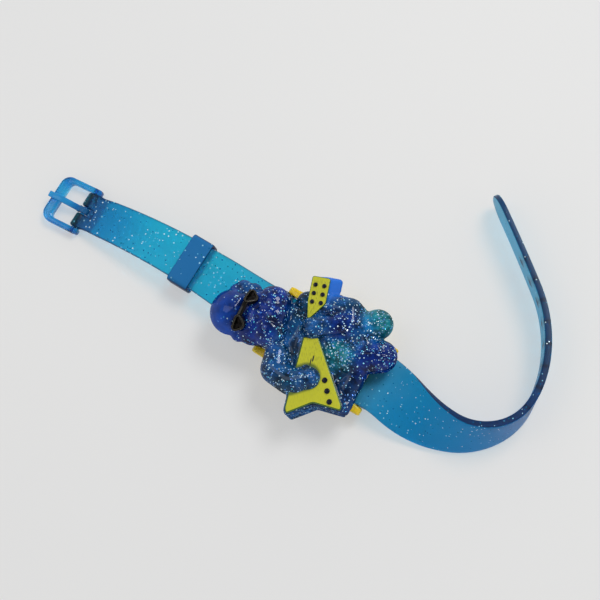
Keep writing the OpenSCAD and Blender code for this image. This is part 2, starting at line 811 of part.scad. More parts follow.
module buckle_strap() {
    color(strap_blue, 0.8) difference() {
        union() {
            intersection() {
                difference() {
                    short_band(short_r + strap_t / 2);
                    short_band(short_r - strap_t / 2);
                }
                linear_extrude(2 * pin_z + 2 * short_sag) short_plan();
            }
            translate([-pin_x, 0, pin_z]) bar_y(strap_end_r, strap_w);
            at_buckle() bar_y(buckle_end_r, strap_w_end);
        }
        translate([-pin_x, 0, pin_z]) bar_y(pin_r + fit, strap_w + 1);
        at_buckle() {
            bar_y(buckle_pin_r + fit, strap_w_end + 1);
            rotate([0, short_angle(short_arc_l), 0])
                box([-2 * buckle_end_r, slot_l], [-slot_w / 2, slot_w / 2], [-4, 4]);
        }
    }
}

module keeper() {
    inside = [keeper_in_h, keeper_in_w];
    outside = inside + 2 * [keeper_t, keeper_t];
    drop = keeper_in_h / 2 - strap_t / 2 - keeper_play;
    color(strap_blue) translate([short_centre[0], short_y(keeper_s), short_centre[1]])
        rotate([0, short_angle(keeper_s), 0])
        translate([-keeper_l / 2, 0, short_r - drop]) rotate([90, 0, 90]) linear_extrude(keeper_l) difference() {
            rounded_rect(outside[1], outside[0], keeper_r);
            rounded_rect(inside[1], inside[0], keeper_r - keeper_t);
        }
}

// Round corners at both ends of a line across the buckle, which leans as the strap's end does
module buckle_corners(x, half, r) {
    for (y = [-1, 1]) translate([x, y * (half - r) + x * tan(buckle_skew)]) circle(r, $fn = 48);
}

// Frame of the buckle: an outer bar and two arms whose ends carry the pin
module buckle_frame() {
    color(buckle_blue) at_buckle() difference() {
        translate([0, 0, -buckle_t / 2]) linear_extrude(buckle_t) difference() {
            hull() {
                buckle_corners(buckle_r - buckle_l, buckle_w / 2, buckle_r);
                buckle_corners(buckle_ear - ear_r, buckle_w / 2, ear_r);
            }
            hull() {
                buckle_corners(buckle_bar - buckle_l + inner_r, buckle_gap / 2, inner_r);
                buckle_corners(2 * buckle_ear, buckle_gap / 2, eps);
            }
        }
        bar_y(buckle_pin_r + fit / 2, buckle_w + 1);
    }
}

module buckle_pin() {
    color(buckle_blue) at_buckle() bar_y(buckle_pin_r, buckle_w - 0.2);
}

// Prong: an eye on the buckle pin and an arm that lies over the outer bar
module prong() {
    bar_at = buckle_bar - buckle_l;
    tip = -buckle_l - prong_over;
    color(buckle_blue) at_buckle() difference() {
        union() {
            bar_y(prong_r, prong_w);
            rotate([90, 0, buckle_skew]) translate([0, 0, -prong_w / 2]) linear_extrude(prong_w) polygon([
                [-0.75 * prong_r, prong_t * 0.6], [bar_at + 0.5, prong_rest + prong_t],
                [tip, prong_rest + 0.6 * prong_t], [tip, prong_rest], [bar_at, prong_rest],
                [-0.75 * prong_r, -prong_t / 4]
            ]);
        }
        bar_y(buckle_pin_r + fit, 2 * prong_w);
    }
}

module hole_strap() {
    places = [for (i = [0 : long_rings - 1]) long_place(i)];
    rings = [for (s = places) each long_ring(s)];
    color(strap_blue, 0.8) difference() {
        union() {
            polyhedron(rings, tube_faces(long_rings, 8));
            translate([pin_x, 0, pin_z]) bar_y(strap_end_r, strap_w);
        }
        translate([pin_x, 0, pin_z]) bar_y(pin_r + fit, strap_w + 1);
        for (i = [0 : hole_count - 1]) adjusting_hole(long_l - hole_start - i * hole_pitch);
    }
}

// Round hole through the hole strap, square to its face
module adjusting_hole(s) {
    f = long_frame(s);
    t = cross(f[1], f[2]);
    multmatrix([
        [f[1][0], t[0], f[2][0], f[0][0]], [f[1][1], t[1], f[2][1], f[0][1]],
        [f[1][2], t[2], f[2][2], f[0][2]], [0, 0, 0, 1]
    ]) cylinder(r = hole_r, h = 3 * strap_t, center = true);
}

case_shell();
case_back();
case_screws();
window();
display_glass();
module_frame();
contact_strips();
circuit_board();
contact_domes();
button_cell();
battery_clip();
mode_button();
set_button();
strap_pins();
hinge_pin();
cover_plate();
figure();
guitar_face();
headstock_face();
headstock_pegs();
guitar_knobs();
sunglasses();
buckle_strap();
keeper();
buckle_frame();
buckle_pin();
prong();
hole_strap();
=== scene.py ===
import math

import bmesh
import bpy
import numpy as np
from mathutils import Matrix, Vector


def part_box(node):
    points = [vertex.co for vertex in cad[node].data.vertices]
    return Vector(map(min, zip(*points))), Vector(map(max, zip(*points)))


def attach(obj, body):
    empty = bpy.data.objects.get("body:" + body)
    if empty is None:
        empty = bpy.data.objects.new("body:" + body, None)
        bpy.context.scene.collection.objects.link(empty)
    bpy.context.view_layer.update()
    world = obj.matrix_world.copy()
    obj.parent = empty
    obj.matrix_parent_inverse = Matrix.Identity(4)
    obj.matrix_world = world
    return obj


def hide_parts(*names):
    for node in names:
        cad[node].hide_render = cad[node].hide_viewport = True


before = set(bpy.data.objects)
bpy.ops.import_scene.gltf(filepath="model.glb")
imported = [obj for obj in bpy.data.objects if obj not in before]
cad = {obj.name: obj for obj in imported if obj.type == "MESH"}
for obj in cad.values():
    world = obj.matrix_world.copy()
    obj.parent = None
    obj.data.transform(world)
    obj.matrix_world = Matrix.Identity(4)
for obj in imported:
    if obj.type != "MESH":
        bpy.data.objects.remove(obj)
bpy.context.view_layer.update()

# Camera: a hand-held look almost straight down on the watch, turned so that the buckle lies to
# the upper left. It is placed by its distance from a point just above the middle of the case.
MM = 0.001
scene = bpy.context.scene
scene.view_settings.view_transform = "Standard"
camera_height_angle, camera_side_angle, camera_roll = (math.radians(a) for a in (76.0, 63.5, 30.902))
camera_distance = 401.638 * MM
frame_pixels, focal_pixels, sensor_width = 600, 1480, 36.0
case_pixel = (324.665, 350.355)
aim = Vector((0, 0, 5 * MM))

backward = Vector((
    math.sin(camera_side_angle) * math.cos(camera_height_angle),
    -math.cos(camera_side_angle) * math.cos(camera_height_angle),
    math.sin(camera_height_angle)))
level = Vector((1, 0, 0)) - backward * backward.x
level.normalize()
upright = backward.cross(level)
picture_right = level * math.cos(camera_roll) + upright * math.sin(camera_roll)
picture_up = upright * math.cos(camera_roll) - level * math.sin(camera_roll)
off_right = (case_pixel[0] - frame_pixels / 2) / focal_pixels
off_down = (case_pixel[1] - frame_pixels / 2) / focal_pixels
eye = aim + camera_distance * (backward - off_right * picture_right + off_down * picture_up)

camera = bpy.data.objects.new("camera", bpy.data.cameras.new("camera"))
scene.collection.objects.link(camera)
camera.data.sensor_width = sensor_width
camera.data.lens = focal_pixels * sensor_width / frame_pixels
camera.data.clip_start = 0.01
camera.matrix_world = Matrix.Translation(eye) @ Matrix(
    (picture_right, picture_up, backward)).transposed().to_4x4()
scene.camera = camera


# Table and light: a plain pale table top under one wide soft lamp towards the upper right of the
# picture, a weaker one across from it, and a room with pale walls and a darker ceiling.
def paint(red, green, blue):
    """A colour as it is seen, in 0 to 255, made linear for the shaders."""
    parts = [c / 255 for c in (red, green, blue)]
    return tuple(c / 12.92 if c < 0.04045 else ((c + 0.055) / 1.055) ** 2.4 for c in parts) + (1.0,)


def add(tree, kind, inputs={}, **settings):
    """A shader node with its settings; an input takes a value or another node's output."""
    made = tree.nodes.new("ShaderNode" + kind)
    for name, value in settings.items():
        setattr(made, name, value)
    for name, value in inputs.items():
        if isinstance(value, bpy.types.NodeSocket):
            tree.links.new(value, made.inputs[name])
        else:
            made.inputs[name].default_value = value
    return made


def calc(tree, operation, first, second=0.0):
    return add(tree, "Math", {0: first, 1: second}, operation=operation).outputs[0]


def mixed(tree, share, first, second):
    """First colour where share is 0, second where it is 1."""
    return add(tree, "Mix", {0: share, 6: first, 7: second}, data_type="RGBA").outputs[2]


def noise(tree, place, scale, detail, roughness=0.5):
    """Cloudy values from 0 to 1; the scale is in clouds for each metre."""
    return add(tree, "TexNoise", {"Vector": place, "Scale": scale, "Detail": detail,
                                  "Roughness": roughness}).outputs["Fac"]


def remap(tree, value, since=(0.0, 1.0), onto=(0.0, 1.0)):
    """A value carried from one range to another and held inside it."""
    return add(tree, "MapRange", {0: value, 1: since[0], 2: since[1], 3: onto[0], 4: onto[1]}).outputs[0]


def new_finish(name, **sockets):
    """A node material and its shader, with the shader's constant sockets set."""
    made = bpy.data.materials.new(name)
    made.use_nodes = True
    shader = made.node_tree.nodes["Principled BSDF"]
    for socket, value in sockets.items():
        shader.inputs[socket.replace("_", " ")].default_value = value
    return made, made.node_tree, shader.inputs


def wire(tree, output, socket):
    tree.links.new(output, socket)


table_half, table_drop, table_evenness = 2.0, 0.05 * MM, 0.5
table_finish, tree, shader = new_finish("table_top", Roughness=0.6)
table_place = add(tree, "TexCoord").outputs["Object"]
table_clouds = noise(tree, table_place, scale=6.0, detail=3.0)
table_colour = mixed(tree, table_clouds, paint(231, 231, 230), paint(227, 227, 227))
wire(tree, table_colour, shader["Base Color"])
seen_by = add(tree, "LightPath").outputs
seen = calc(tree, "MAXIMUM", seen_by["Is Camera Ray"],
            calc(tree, "MAXIMUM", seen_by["Is Glossy Ray"], seen_by["Is Transmission Ray"]))
table_glow = add(tree, "Emission", {"Color": table_colour})
table_mix = add(tree, "MixShader", {0: calc(tree, "MULTIPLY", seen, table_evenness),
                                    1: tree.nodes["Principled BSDF"].outputs[0], 2: table_glow.outputs[0]})
wire(tree, table_mix.outputs[0], tree.nodes["Material Output"].inputs["Surface"])

bm = bmesh.new()
bmesh.ops.create_grid(bm, x_segments=8, y_segments=8, size=table_half)
bmesh.ops.translate(bm, verts=bm.verts, vec=(0, 0, -table_drop))
table_mesh = bpy.data.meshes.new("table_top")
bm.to_mesh(table_mesh)
bm.free()
table_mesh.materials.append(table_finish)
table = bpy.data.objects.new("table_top", table_mesh)
scene.collection.objects.link(table)

room = bpy.data.worlds.new("room")
scene.world = room
room.use_nodes = True
room_tree = room.node_tree
room_light = room_tree.nodes["Background"]
room_light.inputs["Color"].default_value = (1.0, 1.0, 1.0, 1.0)
wall_light, ceiling_light = 0.95, 0.2
room_way = add(room_tree, "SeparateXYZ", {0: add(room_tree, "TexCoord").outputs["Generated"]}).outputs["Z"]
wire(room_tree, remap(room_tree, room_way, onto=(wall_light, ceiling_light)), room_light.inputs["Strength"])


def lamp(name, place, watts, wide):
    """A square soft lamp that points at the watch."""
    light = bpy.data.lights.new(name, "AREA")
    light.energy = watts
    light.size = wide
    made = bpy.data.objects.new(name, light)
    scene.collection.objects.link(made)
    made.location = place
    made.rotation_euler = (Vector(place) - aim).to_track_quat("Z", "Y").to_euler()


lamp("soft_window", picture_right * 0.42 + picture_up * 0.42 + Vector((0, 0, 0.8)), watts=5.4, wide=0.36)
lamp("soft_fill", picture_right * -0.5 + picture_up * 0.2 + Vector((0, 0, 0.9)), watts=1.2, wide=0.5)


def cad_copy(name):
    """The node's triangles as one closed mesh, with each flat area as a single face."""
    bm = bmesh.new()
    bm.from_mesh(cad[name].data)
    bmesh.ops.remove_doubles(bm, verts=bm.verts, dist=2e-7)
    bmesh.ops.dissolve_limit(bm, angle_limit=math.radians(0.5), verts=bm.verts, edges=bm.edges)
    return bm


def round_edges(bm, radius, steps=2, sharper_than=35, past=None):
    """Rounds every edge that turns by more than an angle, or of these the ones past a distance along X."""
    sharp = [e for e in bm.edges
             if len(e.link_faces) == 2 and e.calc_face_angle() > math.radians(sharper_than)
             and (past is None or min(abs(v.co.x) for v in e.verts) > past)]
    bmesh.ops.bevel(bm, geom=sharp, offset=radius, affect="EDGES", segments=steps, profile=0.5,
                    material=-1, clamp_overlap=False)


def piece(name, bm, finishes, body, stands_for, sharp=40):
    """A finished piece: its mesh and finishes, the body it rides on, and the nodes it stands for."""
    mesh = bpy.data.meshes.new(name)
    bm.to_mesh(mesh)
    bm.free()
    mesh.shade_smooth()
    mesh.set_sharp_from_angle(angle=math.radians(sharp))
    for finish in finishes:
        mesh.materials.append(finish)
    made = bpy.data.objects.new(name, mesh)
    scene.collection.objects.link(made)
    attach(made, body)
    if stands_for:
        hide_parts(*stands_for)
    return made


def bump(tree, height, strength, depth):
    """Fine relief in the surface's shading, with its depth in metres."""
    return add(tree, "Bump", {"Height": height, "Strength": strength, "Distance": depth}).outputs[0]


def moulded(name, colour, drift, rough, **sockets):
    """Moulded plastic: a slow drift of colour, a fine grain in the gloss and faint rubbed patches."""
    made, tree, shader = new_finish(name, **sockets)
    place = add(tree, "TexCoord").outputs["Object"]
    clouds = noise(tree, place, scale=160.0, detail=2.0)
    grain = noise(tree, place, scale=5200.0, detail=2.0)
    rubbed = noise(tree, place, scale=420.0, detail=5.0)
    wire(tree, mixed(tree, clouds, colour, drift), shader["Base Color"])
    wire(tree, remap(tree, rubbed, (0.35, 0.7), (rough, rough + 0.16)), shader["Roughness"])
    wire(tree, bump(tree, grain, strength=0.08, depth=0.04 * MM), shader["Normal"])
    return made


case_yellow = moulded("case_yellow", paint(234, 206, 36), paint(226, 192, 24), rough=0.24,
                      Subsurface_Weight=0.25, Subsurface_Radius=(1.0, 0.6, 0.1), Subsurface_Scale=1.5 * MM)
lug_start, lug_round, rim_round = 13.9 * MM, 0.55 * MM, 0.25 * MM
bm = cad_copy("case_shell")
round_edges(bm, lug_round, steps=3, past=lug_start)
round_edges(bm, rim_round, steps=3)
piece("case_moulding", bm, [case_yellow], "case", ["case_shell"])

# Case back: a flat yellow lid of the same plastic. Four small cross-head screws of plated steel
# hold it from below.
bm = cad_copy("case_back")
round_edges(bm, 0.14 * MM)
piece("back_lid", bm, [case_yellow], "case", ["case_back"])


def metal(name, colour, shade, rough, along):
    """Drawn or plated metal: fine lines along one direction and a few dull spots."""
    made, tree, shader = new_finish(name, Metallic=1.0)
    place = add(tree, "TexCoord").outputs["Object"]
    stretched = add(tree, "Mapping", {0: place, "Scale": along}).outputs[0]
    lines = noise(tree, stretched, scale=900.0, detail=3.0)
    spots = noise(tree, place, scale=700.0, detail=4.0)
    wire(tree, mixed(tree, lines, colour, shade), shader["Base Color"])
    wire(tree, remap(tree, spots, (0.3, 0.75), (rough, rough + 0.2)), shader["Roughness"])
    wire(tree, bump(tree, lines, strength=0.1, depth=0.03 * MM), shader["Normal"])
    return made


plated_steel = metal("plated_steel", paint(196, 198, 203), paint(168, 170, 176),
                     rough=0.25, along=(1, 1, 1))
bm = cad_copy("case_screws")
round_edges(bm, 0.06 * MM)
piece("back_screws", bm, [plated_steel], "case", ["case_screws"])


# Works: a green board with copper tracks, two sprung domes under the buttons, a button cell in a
# brass clip, and a white carrier with two rubber strips that feed the display.
def dress(name, finish):
    """Gives a CAD node its finish."""
    cad[name].data.materials.clear()
    cad[name].data.materials.append(finish)


board_green, tree, shader = new_finish("board_green", Coat_Weight=0.4)
place = add(tree, "TexCoord").outputs["Object"]
tracks = add(tree, "TexBrick", {"Vector": place, "Color1": paint(18, 92, 40), "Color2": paint(22, 104, 46),
                                "Mortar": paint(96, 140, 50), "Scale": 520.0, "Mortar Size": 0.03})
wire(tree, tracks.outputs["Color"], shader["Base Color"])
wire(tree, remap(tree, tracks.outputs["Fac"], onto=(0.45, 0.3)), shader["Roughness"])
wire(tree, bump(tree, tracks.outputs["Fac"], strength=0.3, depth=0.05 * MM), shader["Normal"])
dress("circuit_board", board_green)
cell_steel = metal("cell_steel", paint(204, 205, 207), paint(184, 186, 190), rough=0.22, along=(1, 8, 1))
dress("button_cell", cell_steel)
dress("contact_domes", cell_steel)
clip_brass = metal("clip_brass", paint(206, 170, 92), paint(178, 140, 66), rough=0.28, along=(8, 1, 1))
dress("battery_clip", clip_brass)
dress("contact_strips", moulded("strip_rubber", paint(58, 58, 62), paint(44, 44, 48), rough=0.6))
dress("module_frame", moulded("carrier_white", paint(226, 225, 220), paint(216, 214, 207), rough=0.42))

# Display: two bonded glasses with a grey-green back, and under the clear window the dark bars of
# a plain clock read-out. The bars are printed on the glass.
display_grey, tree, shader = new_finish("display_grey", Roughness=0.14)
place = add(tree, "TexCoord").outputs["Object"]
mottle = noise(tree, place, scale=900.0, detail=4.0)
wire(tree, mixed(tree, mottle, paint(150, 160, 140), paint(138, 149, 130)), shader["Base Color"])
dress("display_glass", display_grey)

window_low, window_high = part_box("window")
window_mid = (window_low + window_high) / 2
digit_wide, digit_tall, bar_wide = 2.3 * MM, 4.6 * MM, 0.42 * MM
bar_gap, dot_radius, dot_rise = 0.1 * MM, 0.26 * MM, 1.1 * MM
print_lift, print_height = 0.01 * MM, 0.03 * MM
digits = zip("1008", (-5.4 * MM, -2.2 * MM, 2.2 * MM, 5.4 * MM))
bars_of = {"1": "cd", "0": "abcdef", "8": "abcdefg"}
bar_places = {
    "a": (0, 1, 0), "g": (0, 0, 0), "f": (-0.5, 0.5, 1), "b": (-0.5, -0.5, 1),
    "e": (0, -1, 0), "c": (0.5, 0.5, 1), "d": (0.5, -0.5, 1)}
glass_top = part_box("display_glass")[1].z


def read_out_bar(bm, x, y, length, upright):
    """One six-sided bar of a digit, lying on the glass."""
    made = bmesh.ops.create_circle(bm, cap_ends=True, segments=6, radius=length / 2)["verts"]
    for v in made:
        v.co.y = math.copysign(bar_wide / 2, v.co.y) if abs(v.co.y) > 1e-7 else 0.0
        v.co.x *= 1.0 if v.co.y == 0 else (length - bar_wide) / length * 2
    if upright:
        bmesh.ops.rotate(bm, verts=made, matrix=Matrix.Rotation(math.pi / 2, 3, "Z"))
    bmesh.ops.translate(bm, verts=made, vec=(x, y, glass_top + print_lift))


def thicken(bm, faces, height):
    """Extrudes faces by a height along Z; the points and faces that this makes."""
    made = bmesh.ops.extrude_face_region(bm, geom=faces)["geom"]
    points = [g for g in made if isinstance(g, bmesh.types.BMVert)]
    bmesh.ops.translate(bm, verts=points, vec=(0, 0, height))
    return points, [g for g in made if isinstance(g, bmesh.types.BMFace)]


bm = bmesh.new()
for digit, centre in digits:
    for bar in bars_of[digit]:
        side, rise, upright = bar_places[bar]
        length = (digit_tall / 2 if upright else digit_wide) - bar_gap
        read_out_bar(bm, centre + side * digit_wide + window_mid.x,
                     rise * digit_tall / 2 + window_mid.y, length, upright)
for dot in (-1, 1):
    made = bmesh.ops.create_circle(bm, cap_ends=True, segments=12, radius=dot_radius)["verts"]
    dot_place = (window_mid.x, window_mid.y + dot * dot_rise, glass_top + print_lift)
    bmesh.ops.translate(bm, verts=made, vec=dot_place)
thicken(bm, bm.faces[:], print_height)
bmesh.ops.recalc_face_normals(bm, faces=bm.faces)
read_out_ink = moulded("read_out_ink", paint(34, 38, 36), paint(44, 48, 45), rough=0.4)
piece("read_out", bm, [read_out_ink], "case", [])

window_clear, tree, shader = new_finish("window_clear", Roughness=0.03, Transmission_Weight=1.0, IOR=1.2)
place = add(tree, "TexCoord").outputs["Object"]
haze = noise(tree, place, scale=300.0, detail=4.0)
wire(tree, mixed(tree, haze, paint(250, 252, 252), paint(243, 247, 247)), shader["Base Color"])
bm = cad_copy("window")
round_edges(bm, 0.1 * MM)
piece("clear_window", bm, [window_clear], "case", ["window"])

# Buttons: two orange push buttons beside the display, gloss plastic with rounded edges. A flange under
# the top wall keeps each one in, and a sprung dome lifts it.
button_orange = moulded("button_orange", paint(226, 116, 30), paint(212, 100, 22), rough=0.28)
for name in ("mode_button", "set_button"):
    bm = cad_copy(name)
    round_edges(bm, 0.16 * MM, steps=3)
    piece(name.replace("_button", "_push"), bm, [button_orange], name, [name])

# Pins: two sprung bars between the lugs carry the straps, and a plain pin through the hinge ears
# carries the cover. Drawn steel with fine lines along each pin.
drawn_steel = metal("drawn_steel", paint(192, 194, 198), paint(164, 166, 172),
                    rough=0.26, along=(1, 0.1, 1))
dress("strap_pins", drawn_steel)
dress("hinge_pin", drawn_steel)


# Cover plate: the flat underside of the flip-up cover, with the middle knuckle of the hinge. Clear
# blue plastic full of silver flakes, as the figure on it.
def flakes(tree, spacing, share, size, tilt):
    """Flakes in clear plastic, one in some of the cells: where they are, three random values for each
    of them, and a surface normal that leans at each flake."""
    place = add(tree, "TexCoord").outputs["Object"]
    cells = add(tree, "TexVoronoi", {"Vector": place, "Scale": 1 / spacing})
    chance = add(tree, "SeparateColor", {0: cells.outputs["Color"]}).outputs
    there = calc(tree, "MULTIPLY", calc(tree, "LESS_THAN", chance[0], share),
                 calc(tree, "LESS_THAN", cells.outputs["Distance"], size))
    facing = add(tree, "NewGeometry").outputs["Normal"]
    lean = add(tree, "VectorMath", {0: cells.outputs["Color"], 1: (0.5, 0.5, 0.5)},
               operation="SUBTRACT").outputs[0]
    strength = calc(tree, "MULTIPLY", there, tilt)
    scaled = add(tree, "VectorMath", {0: lean, "Scale": strength}, operation="SCALE").outputs[0]
    leaning = add(tree, "VectorMath", {0: facing, 1: scaled}, operation="ADD").outputs[0]
    normal = add(tree, "VectorMath", {0: leaning}, operation="NORMALIZE").outputs[0]
    return there, chance, normal


def ramp(tree, place, stops):
    """Colours along a 0 to 1 value: a list of places and colours."""
    made = add(tree, "ValToRGB", {0: place})
    elements = made.color_ramp.elements
    while len(elements) < len(stops):
        elements.new(0.5)
    for element, (at, colour) in zip(elements, stops):
        element.position = at
        element.color = colour
    return made.outputs[0]


silver_stops = [(0.0, paint(218, 242, 255)), (0.3, paint(176, 222, 252)), (0.45, paint(80, 146, 234)),
                (0.6, paint(92, 132, 220)), (0.75, paint(92, 206, 238)), (1.0, paint(230, 247, 255))]
cover_blue, tree, shader = new_finish(
    "cover_blue", Specular_IOR_Level=0.2, Coat_Weight=0.15, Coat_Roughness=0.1)
clouds = noise(tree, add(tree, "TexCoord").outputs["Object"], scale=190.0, detail=3.0)
there, chance, normal = flakes(tree, spacing=0.55 * MM, share=0.3, size=0.42, tilt=1.3)
body = mixed(tree, clouds, paint(20, 38, 110), paint(26, 60, 120))
wire(tree, mixed(tree, there, body, ramp(tree, chance[1], silver_stops)), shader["Base Color"])
wire(tree, calc(tree, "MULTIPLY", there, 0.9), shader["Metallic"])
wire(tree, remap(tree, there, onto=(0.3, 0.22)), shader["Roughness"])
wire(tree, normal, shader["Normal"])
bm = cad_copy("cover_plate")
round_edges(bm, 0.2 * MM)
piece("cover_base", bm, [cover_blue], "cover", ["cover_plate"])

# Figure: a chubby musician on its back, one hollow-backed moulding with the blue body of the guitar.
# Clear navy and teal plastic full of silver flakes; the cap is smoother and has few of them.
skin_step = 0.3 * MM
soften_passes = 9
plate_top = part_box("cover_plate")[1].z / MM

bm = cad_copy("figure")
bmesh.ops.triangulate(bm, faces=bm.faces)
# Balls that fill out the ear, the edge of the cap and the corner of the skirt before the skin is made,
# in millimetres: middle and radius.
fuller = [((-24.0, 3.8, 11.0), 1.9), ((-28.3, 1.0, 11.0), 1.9),
          ((14.0, -11.6, 11.2), 1.7), ((14.1, -10.0, 11.2), 1.6), ((13.9, -8.4, 11.0), 1.6)]
for middle, radius in fuller:
    bmesh.ops.create_icosphere(bm, subdivisions=3, radius=radius * MM,
                               matrix=Matrix.Translation(Vector(middle) * MM))
rough_mesh = bpy.data.meshes.new("figure_body")
bm.to_mesh(rough_mesh)
bm.free()
rough = bpy.data.objects.new("figure_rough", rough_mesh)
scene.collection.objects.link(rough)
skin = rough.modifiers.new("skin", "REMESH")
skin.mode = "VOXEL"
skin.voxel_size = skin_step
even_mesh = bpy.data.meshes.new_from_object(rough.evaluated_get(bpy.context.evaluated_depsgraph_get()))
bpy.data.objects.remove(rough)
bm = bmesh.new()
bm.from_mesh(even_mesh)
for _ in range(soften_passes):
    bmesh.ops.smooth_vert(bm, verts=bm.verts, factor=0.5, use_axis_x=True, use_axis_y=True, use_axis_z=True)

# The knuckles of the hand on the guitar stand up from the arm, and the forearm is fuller below: middle,
# reach and push in millimetres.
hand_up = Vector((-0.51, 0.86, 0.0))
knuckles, forearm = ((-0.2, -7.3, 14.0), 1.8, 0.7), ((0.9, -14.0, 13.0), 2.8, -0.9)
for middle, reach, push in (knuckles, forearm):
    for v in bm.verts:
        away = (v.co / MM - Vector(middle)).length / reach
        if away < 1:
            v.co += hand_up * push * MM * (1 - away * away) ** 2
bm.normal_update()

# Lines pressed into the soft forms, in millimetres seen from above: points, width and depth.
left_hand, left_way = Vector((2.1, -9.3)), Vector((0.79, 0.61))
right_hand, right_way = Vector((-4.3, 2.6)), Vector((-0.79, -0.61))
upper_foot, upper_way = Vector((9.6, 12.6)), Vector((0.616, 0.788))
lower_foot, lower_way = Vector((14.5, 5.4)), Vector((0.85, 0.526))


def side_by_side(centre, way, offsets, start, end):
    """Short parallel lines over the end of a limb."""
    across = Vector((-way.y, way.x))
    return [[centre + across * o + way * start, centre + across * o * 1.15 + way * end] for o in offsets]


muzzle_line = [Vector((-17.0, -1.7)), Vector((-14.5, -1.6)), Vector((-11.6, -1.4))]
pressed = [(muzzle_line, 0.7, 0.5)]
pressed += [(line, 0.7, 0.16) for line in side_by_side(left_hand, left_way, (-1.1, 0.4), 0.4, 2.4)]
pressed += [(line, 0.6, 0.26) for line in side_by_side(right_hand, right_way, (-1.3, 0.0, 1.3), 0.0, 2.2)]
pressed += [(line, 0.6, 0.26) for line in side_by_side(upper_foot, upper_way, (-1.5, 0.0, 1.5), 0.6, 3.4)]
pressed += [(line, 0.6, 0.26) for line in side_by_side(lower_foot, lower_way, (-1.6, 0.0, 1.6), 0.6, 3.6)]

places = np.array([v.co for v in bm.verts]) / MM
facing = np.array([v.normal for v in bm.verts])
sunk = np.zeros(len(places))
for line, width, depth in pressed:
    near = np.full(len(places), 1e9)
    for start, end in zip(line, line[1:]):
        run = np.array(end - start)
        to = places[:, :2] - np.array(start)
        share = np.clip(to @ run / (run @ run), 0, 1)
        near = np.minimum(near, np.linalg.norm(to - share[:, None] * run, axis=1))
    sunk = np.maximum(sunk, depth * np.clip(1 - (near / width) ** 2, 0, 1) ** 2)
rises_from, faces_up = plate_top + 0.8, 0.1
sunk *= (places[:, 2] > rises_from) & (facing[:, 2] > faces_up)
for v, push in zip(bm.verts, sunk):
    if push > 0:
        v.co -= v.normal * float(push) * MM

# Tints of the plastic by region: middle, reach, colour and how much glitter is in it.
cap_top, cap_mid, cap_blue = (18, 60, 150), (8, 78, 186), (10, 86, 208)
side_blue, navy, skirt_blue, tail_blue = (44, 128, 244), (5, 48, 142), (6, 52, 104), (14, 66, 132)
deep_teal, mid_blue, sea_teal, sky_blue = (8, 70, 108), (26, 92, 160), (28, 140, 154), (24, 132, 210)
tints = [
    ((-28.6, -2.4, 12.5), 3.8, cap_top, 0.3), ((-27.8, -6.6, 12.0), 3.8, cap_mid, 0.24),
    ((-26.0, -9.0, 11.0), 3.2, cap_blue, 0.12),
    ((-25.5, 2.6, 12.0), 2.6, mid_blue, 0.8), ((-19.5, -3.0, 14.0), 4.2, navy, 0.8),
    ((-15.5, -4.8, 14.0), 3.6, navy, 1.0), ((-15.5, 2.0, 14.0), 3.6, navy, 1.0),
    ((-9.5, 4.0, 12.0), 3.4, deep_teal, 0.9), ((-9.0, -3.0, 12.0), 3.6, mid_blue, 1.0),
    ((-8.0, -11.0, 12.0), 3.6, mid_blue, 1.0), ((-3.0, -13.0, 12.0), 3.4, deep_teal, 1.0),
    ((2.0, -9.5, 14.0), 2.8, mid_blue, 1.0), ((-6.0, -6.0, 12.0), 2.6, deep_teal, 0.8),
    ((-4.0, 3.0, 14.0), 3.0, mid_blue, 1.0), ((2.0, 8.0, 13.0), 3.2, navy, 1.0),
    ((0.0, 12.5, 12.0), 3.2, deep_teal, 0.9), ((-4.2, 14.2, 11.5), 2.8, side_blue, 0.03),
    ((6.6, -0.4, 14.0), 2.8, sea_teal, 2.8), ((5.0, -5.0, 12.0), 3.2, deep_teal, 0.8),
    ((8.5, 7.0, 13.0), 2.8, mid_blue, 1.5), ((11.0, 13.5, 12.0), 3.4, sea_teal, 0.8),
    ((8.5, 10.5, 13.0), 2.0, sky_blue, 1.6), ((15.0, 5.5, 13.0), 3.8, navy, 1.1),
    ((11.0, 1.0, 13.0), 3.0, navy, 1.0), ((10.0, -5.0, 11.0), 3.2, skirt_blue, 0.5),
    ((6.0, -16.0, 9.0), 4.0, mid_blue, 1.1), ((12.0, -14.0, 9.0), 4.0, tail_blue, 1.0)]
weight = np.zeros(len(places))
tinted = np.zeros((len(places), 3))
sparkle = np.zeros(len(places))
for middle, reach, colour, glitter in tints:
    near = np.exp(-(np.linalg.norm(places - np.array(middle), axis=1) / reach) ** 2) + 1e-9
    weight += near
    tinted += near[:, None] * np.array(paint(*colour)[:3])
    sparkle += near * glitter
tinted /= weight[:, None]
sparkle /= weight

figure_blue, tree, shader = new_finish("figure_blue", Specular_IOR_Level=0.0, Coat_Roughness=0.08)
place = add(tree, "TexCoord").outputs["Object"]
tint = add(tree, "Attribute", attribute_name="tint").outputs["Color"]
amount = add(tree, "Attribute", attribute_name="sparkle").outputs["Fac"]
wire(tree, add(tree, "Attribute", attribute_name="gloss").outputs["Fac"], shader["Coat Weight"])
clouds = noise(tree, place, scale=340.0, detail=5.0, roughness=0.6)
depth = remap(tree, clouds, (0.36, 0.66), (0.17, 1.05))
plain = remap(tree, amount, (0.1, 0.5), (0.7, depth))
body = add(tree, "VectorMath", {0: tint, "Scale": plain}, operation="SCALE").outputs[0]
large_share, small_share = 0.28, 0.06
many, few = calc(tree, "MULTIPLY", amount, large_share), calc(tree, "MULTIPLY", amount, small_share)
large, large_chance, large_normal = flakes(tree, spacing=0.52 * MM, share=many, size=0.42, tilt=1.3)
small, small_chance, small_normal = flakes(tree, spacing=0.34 * MM, share=few, size=0.36, tilt=1.3)
dusted = mixed(tree, small, body, ramp(tree, small_chance[1], silver_stops))
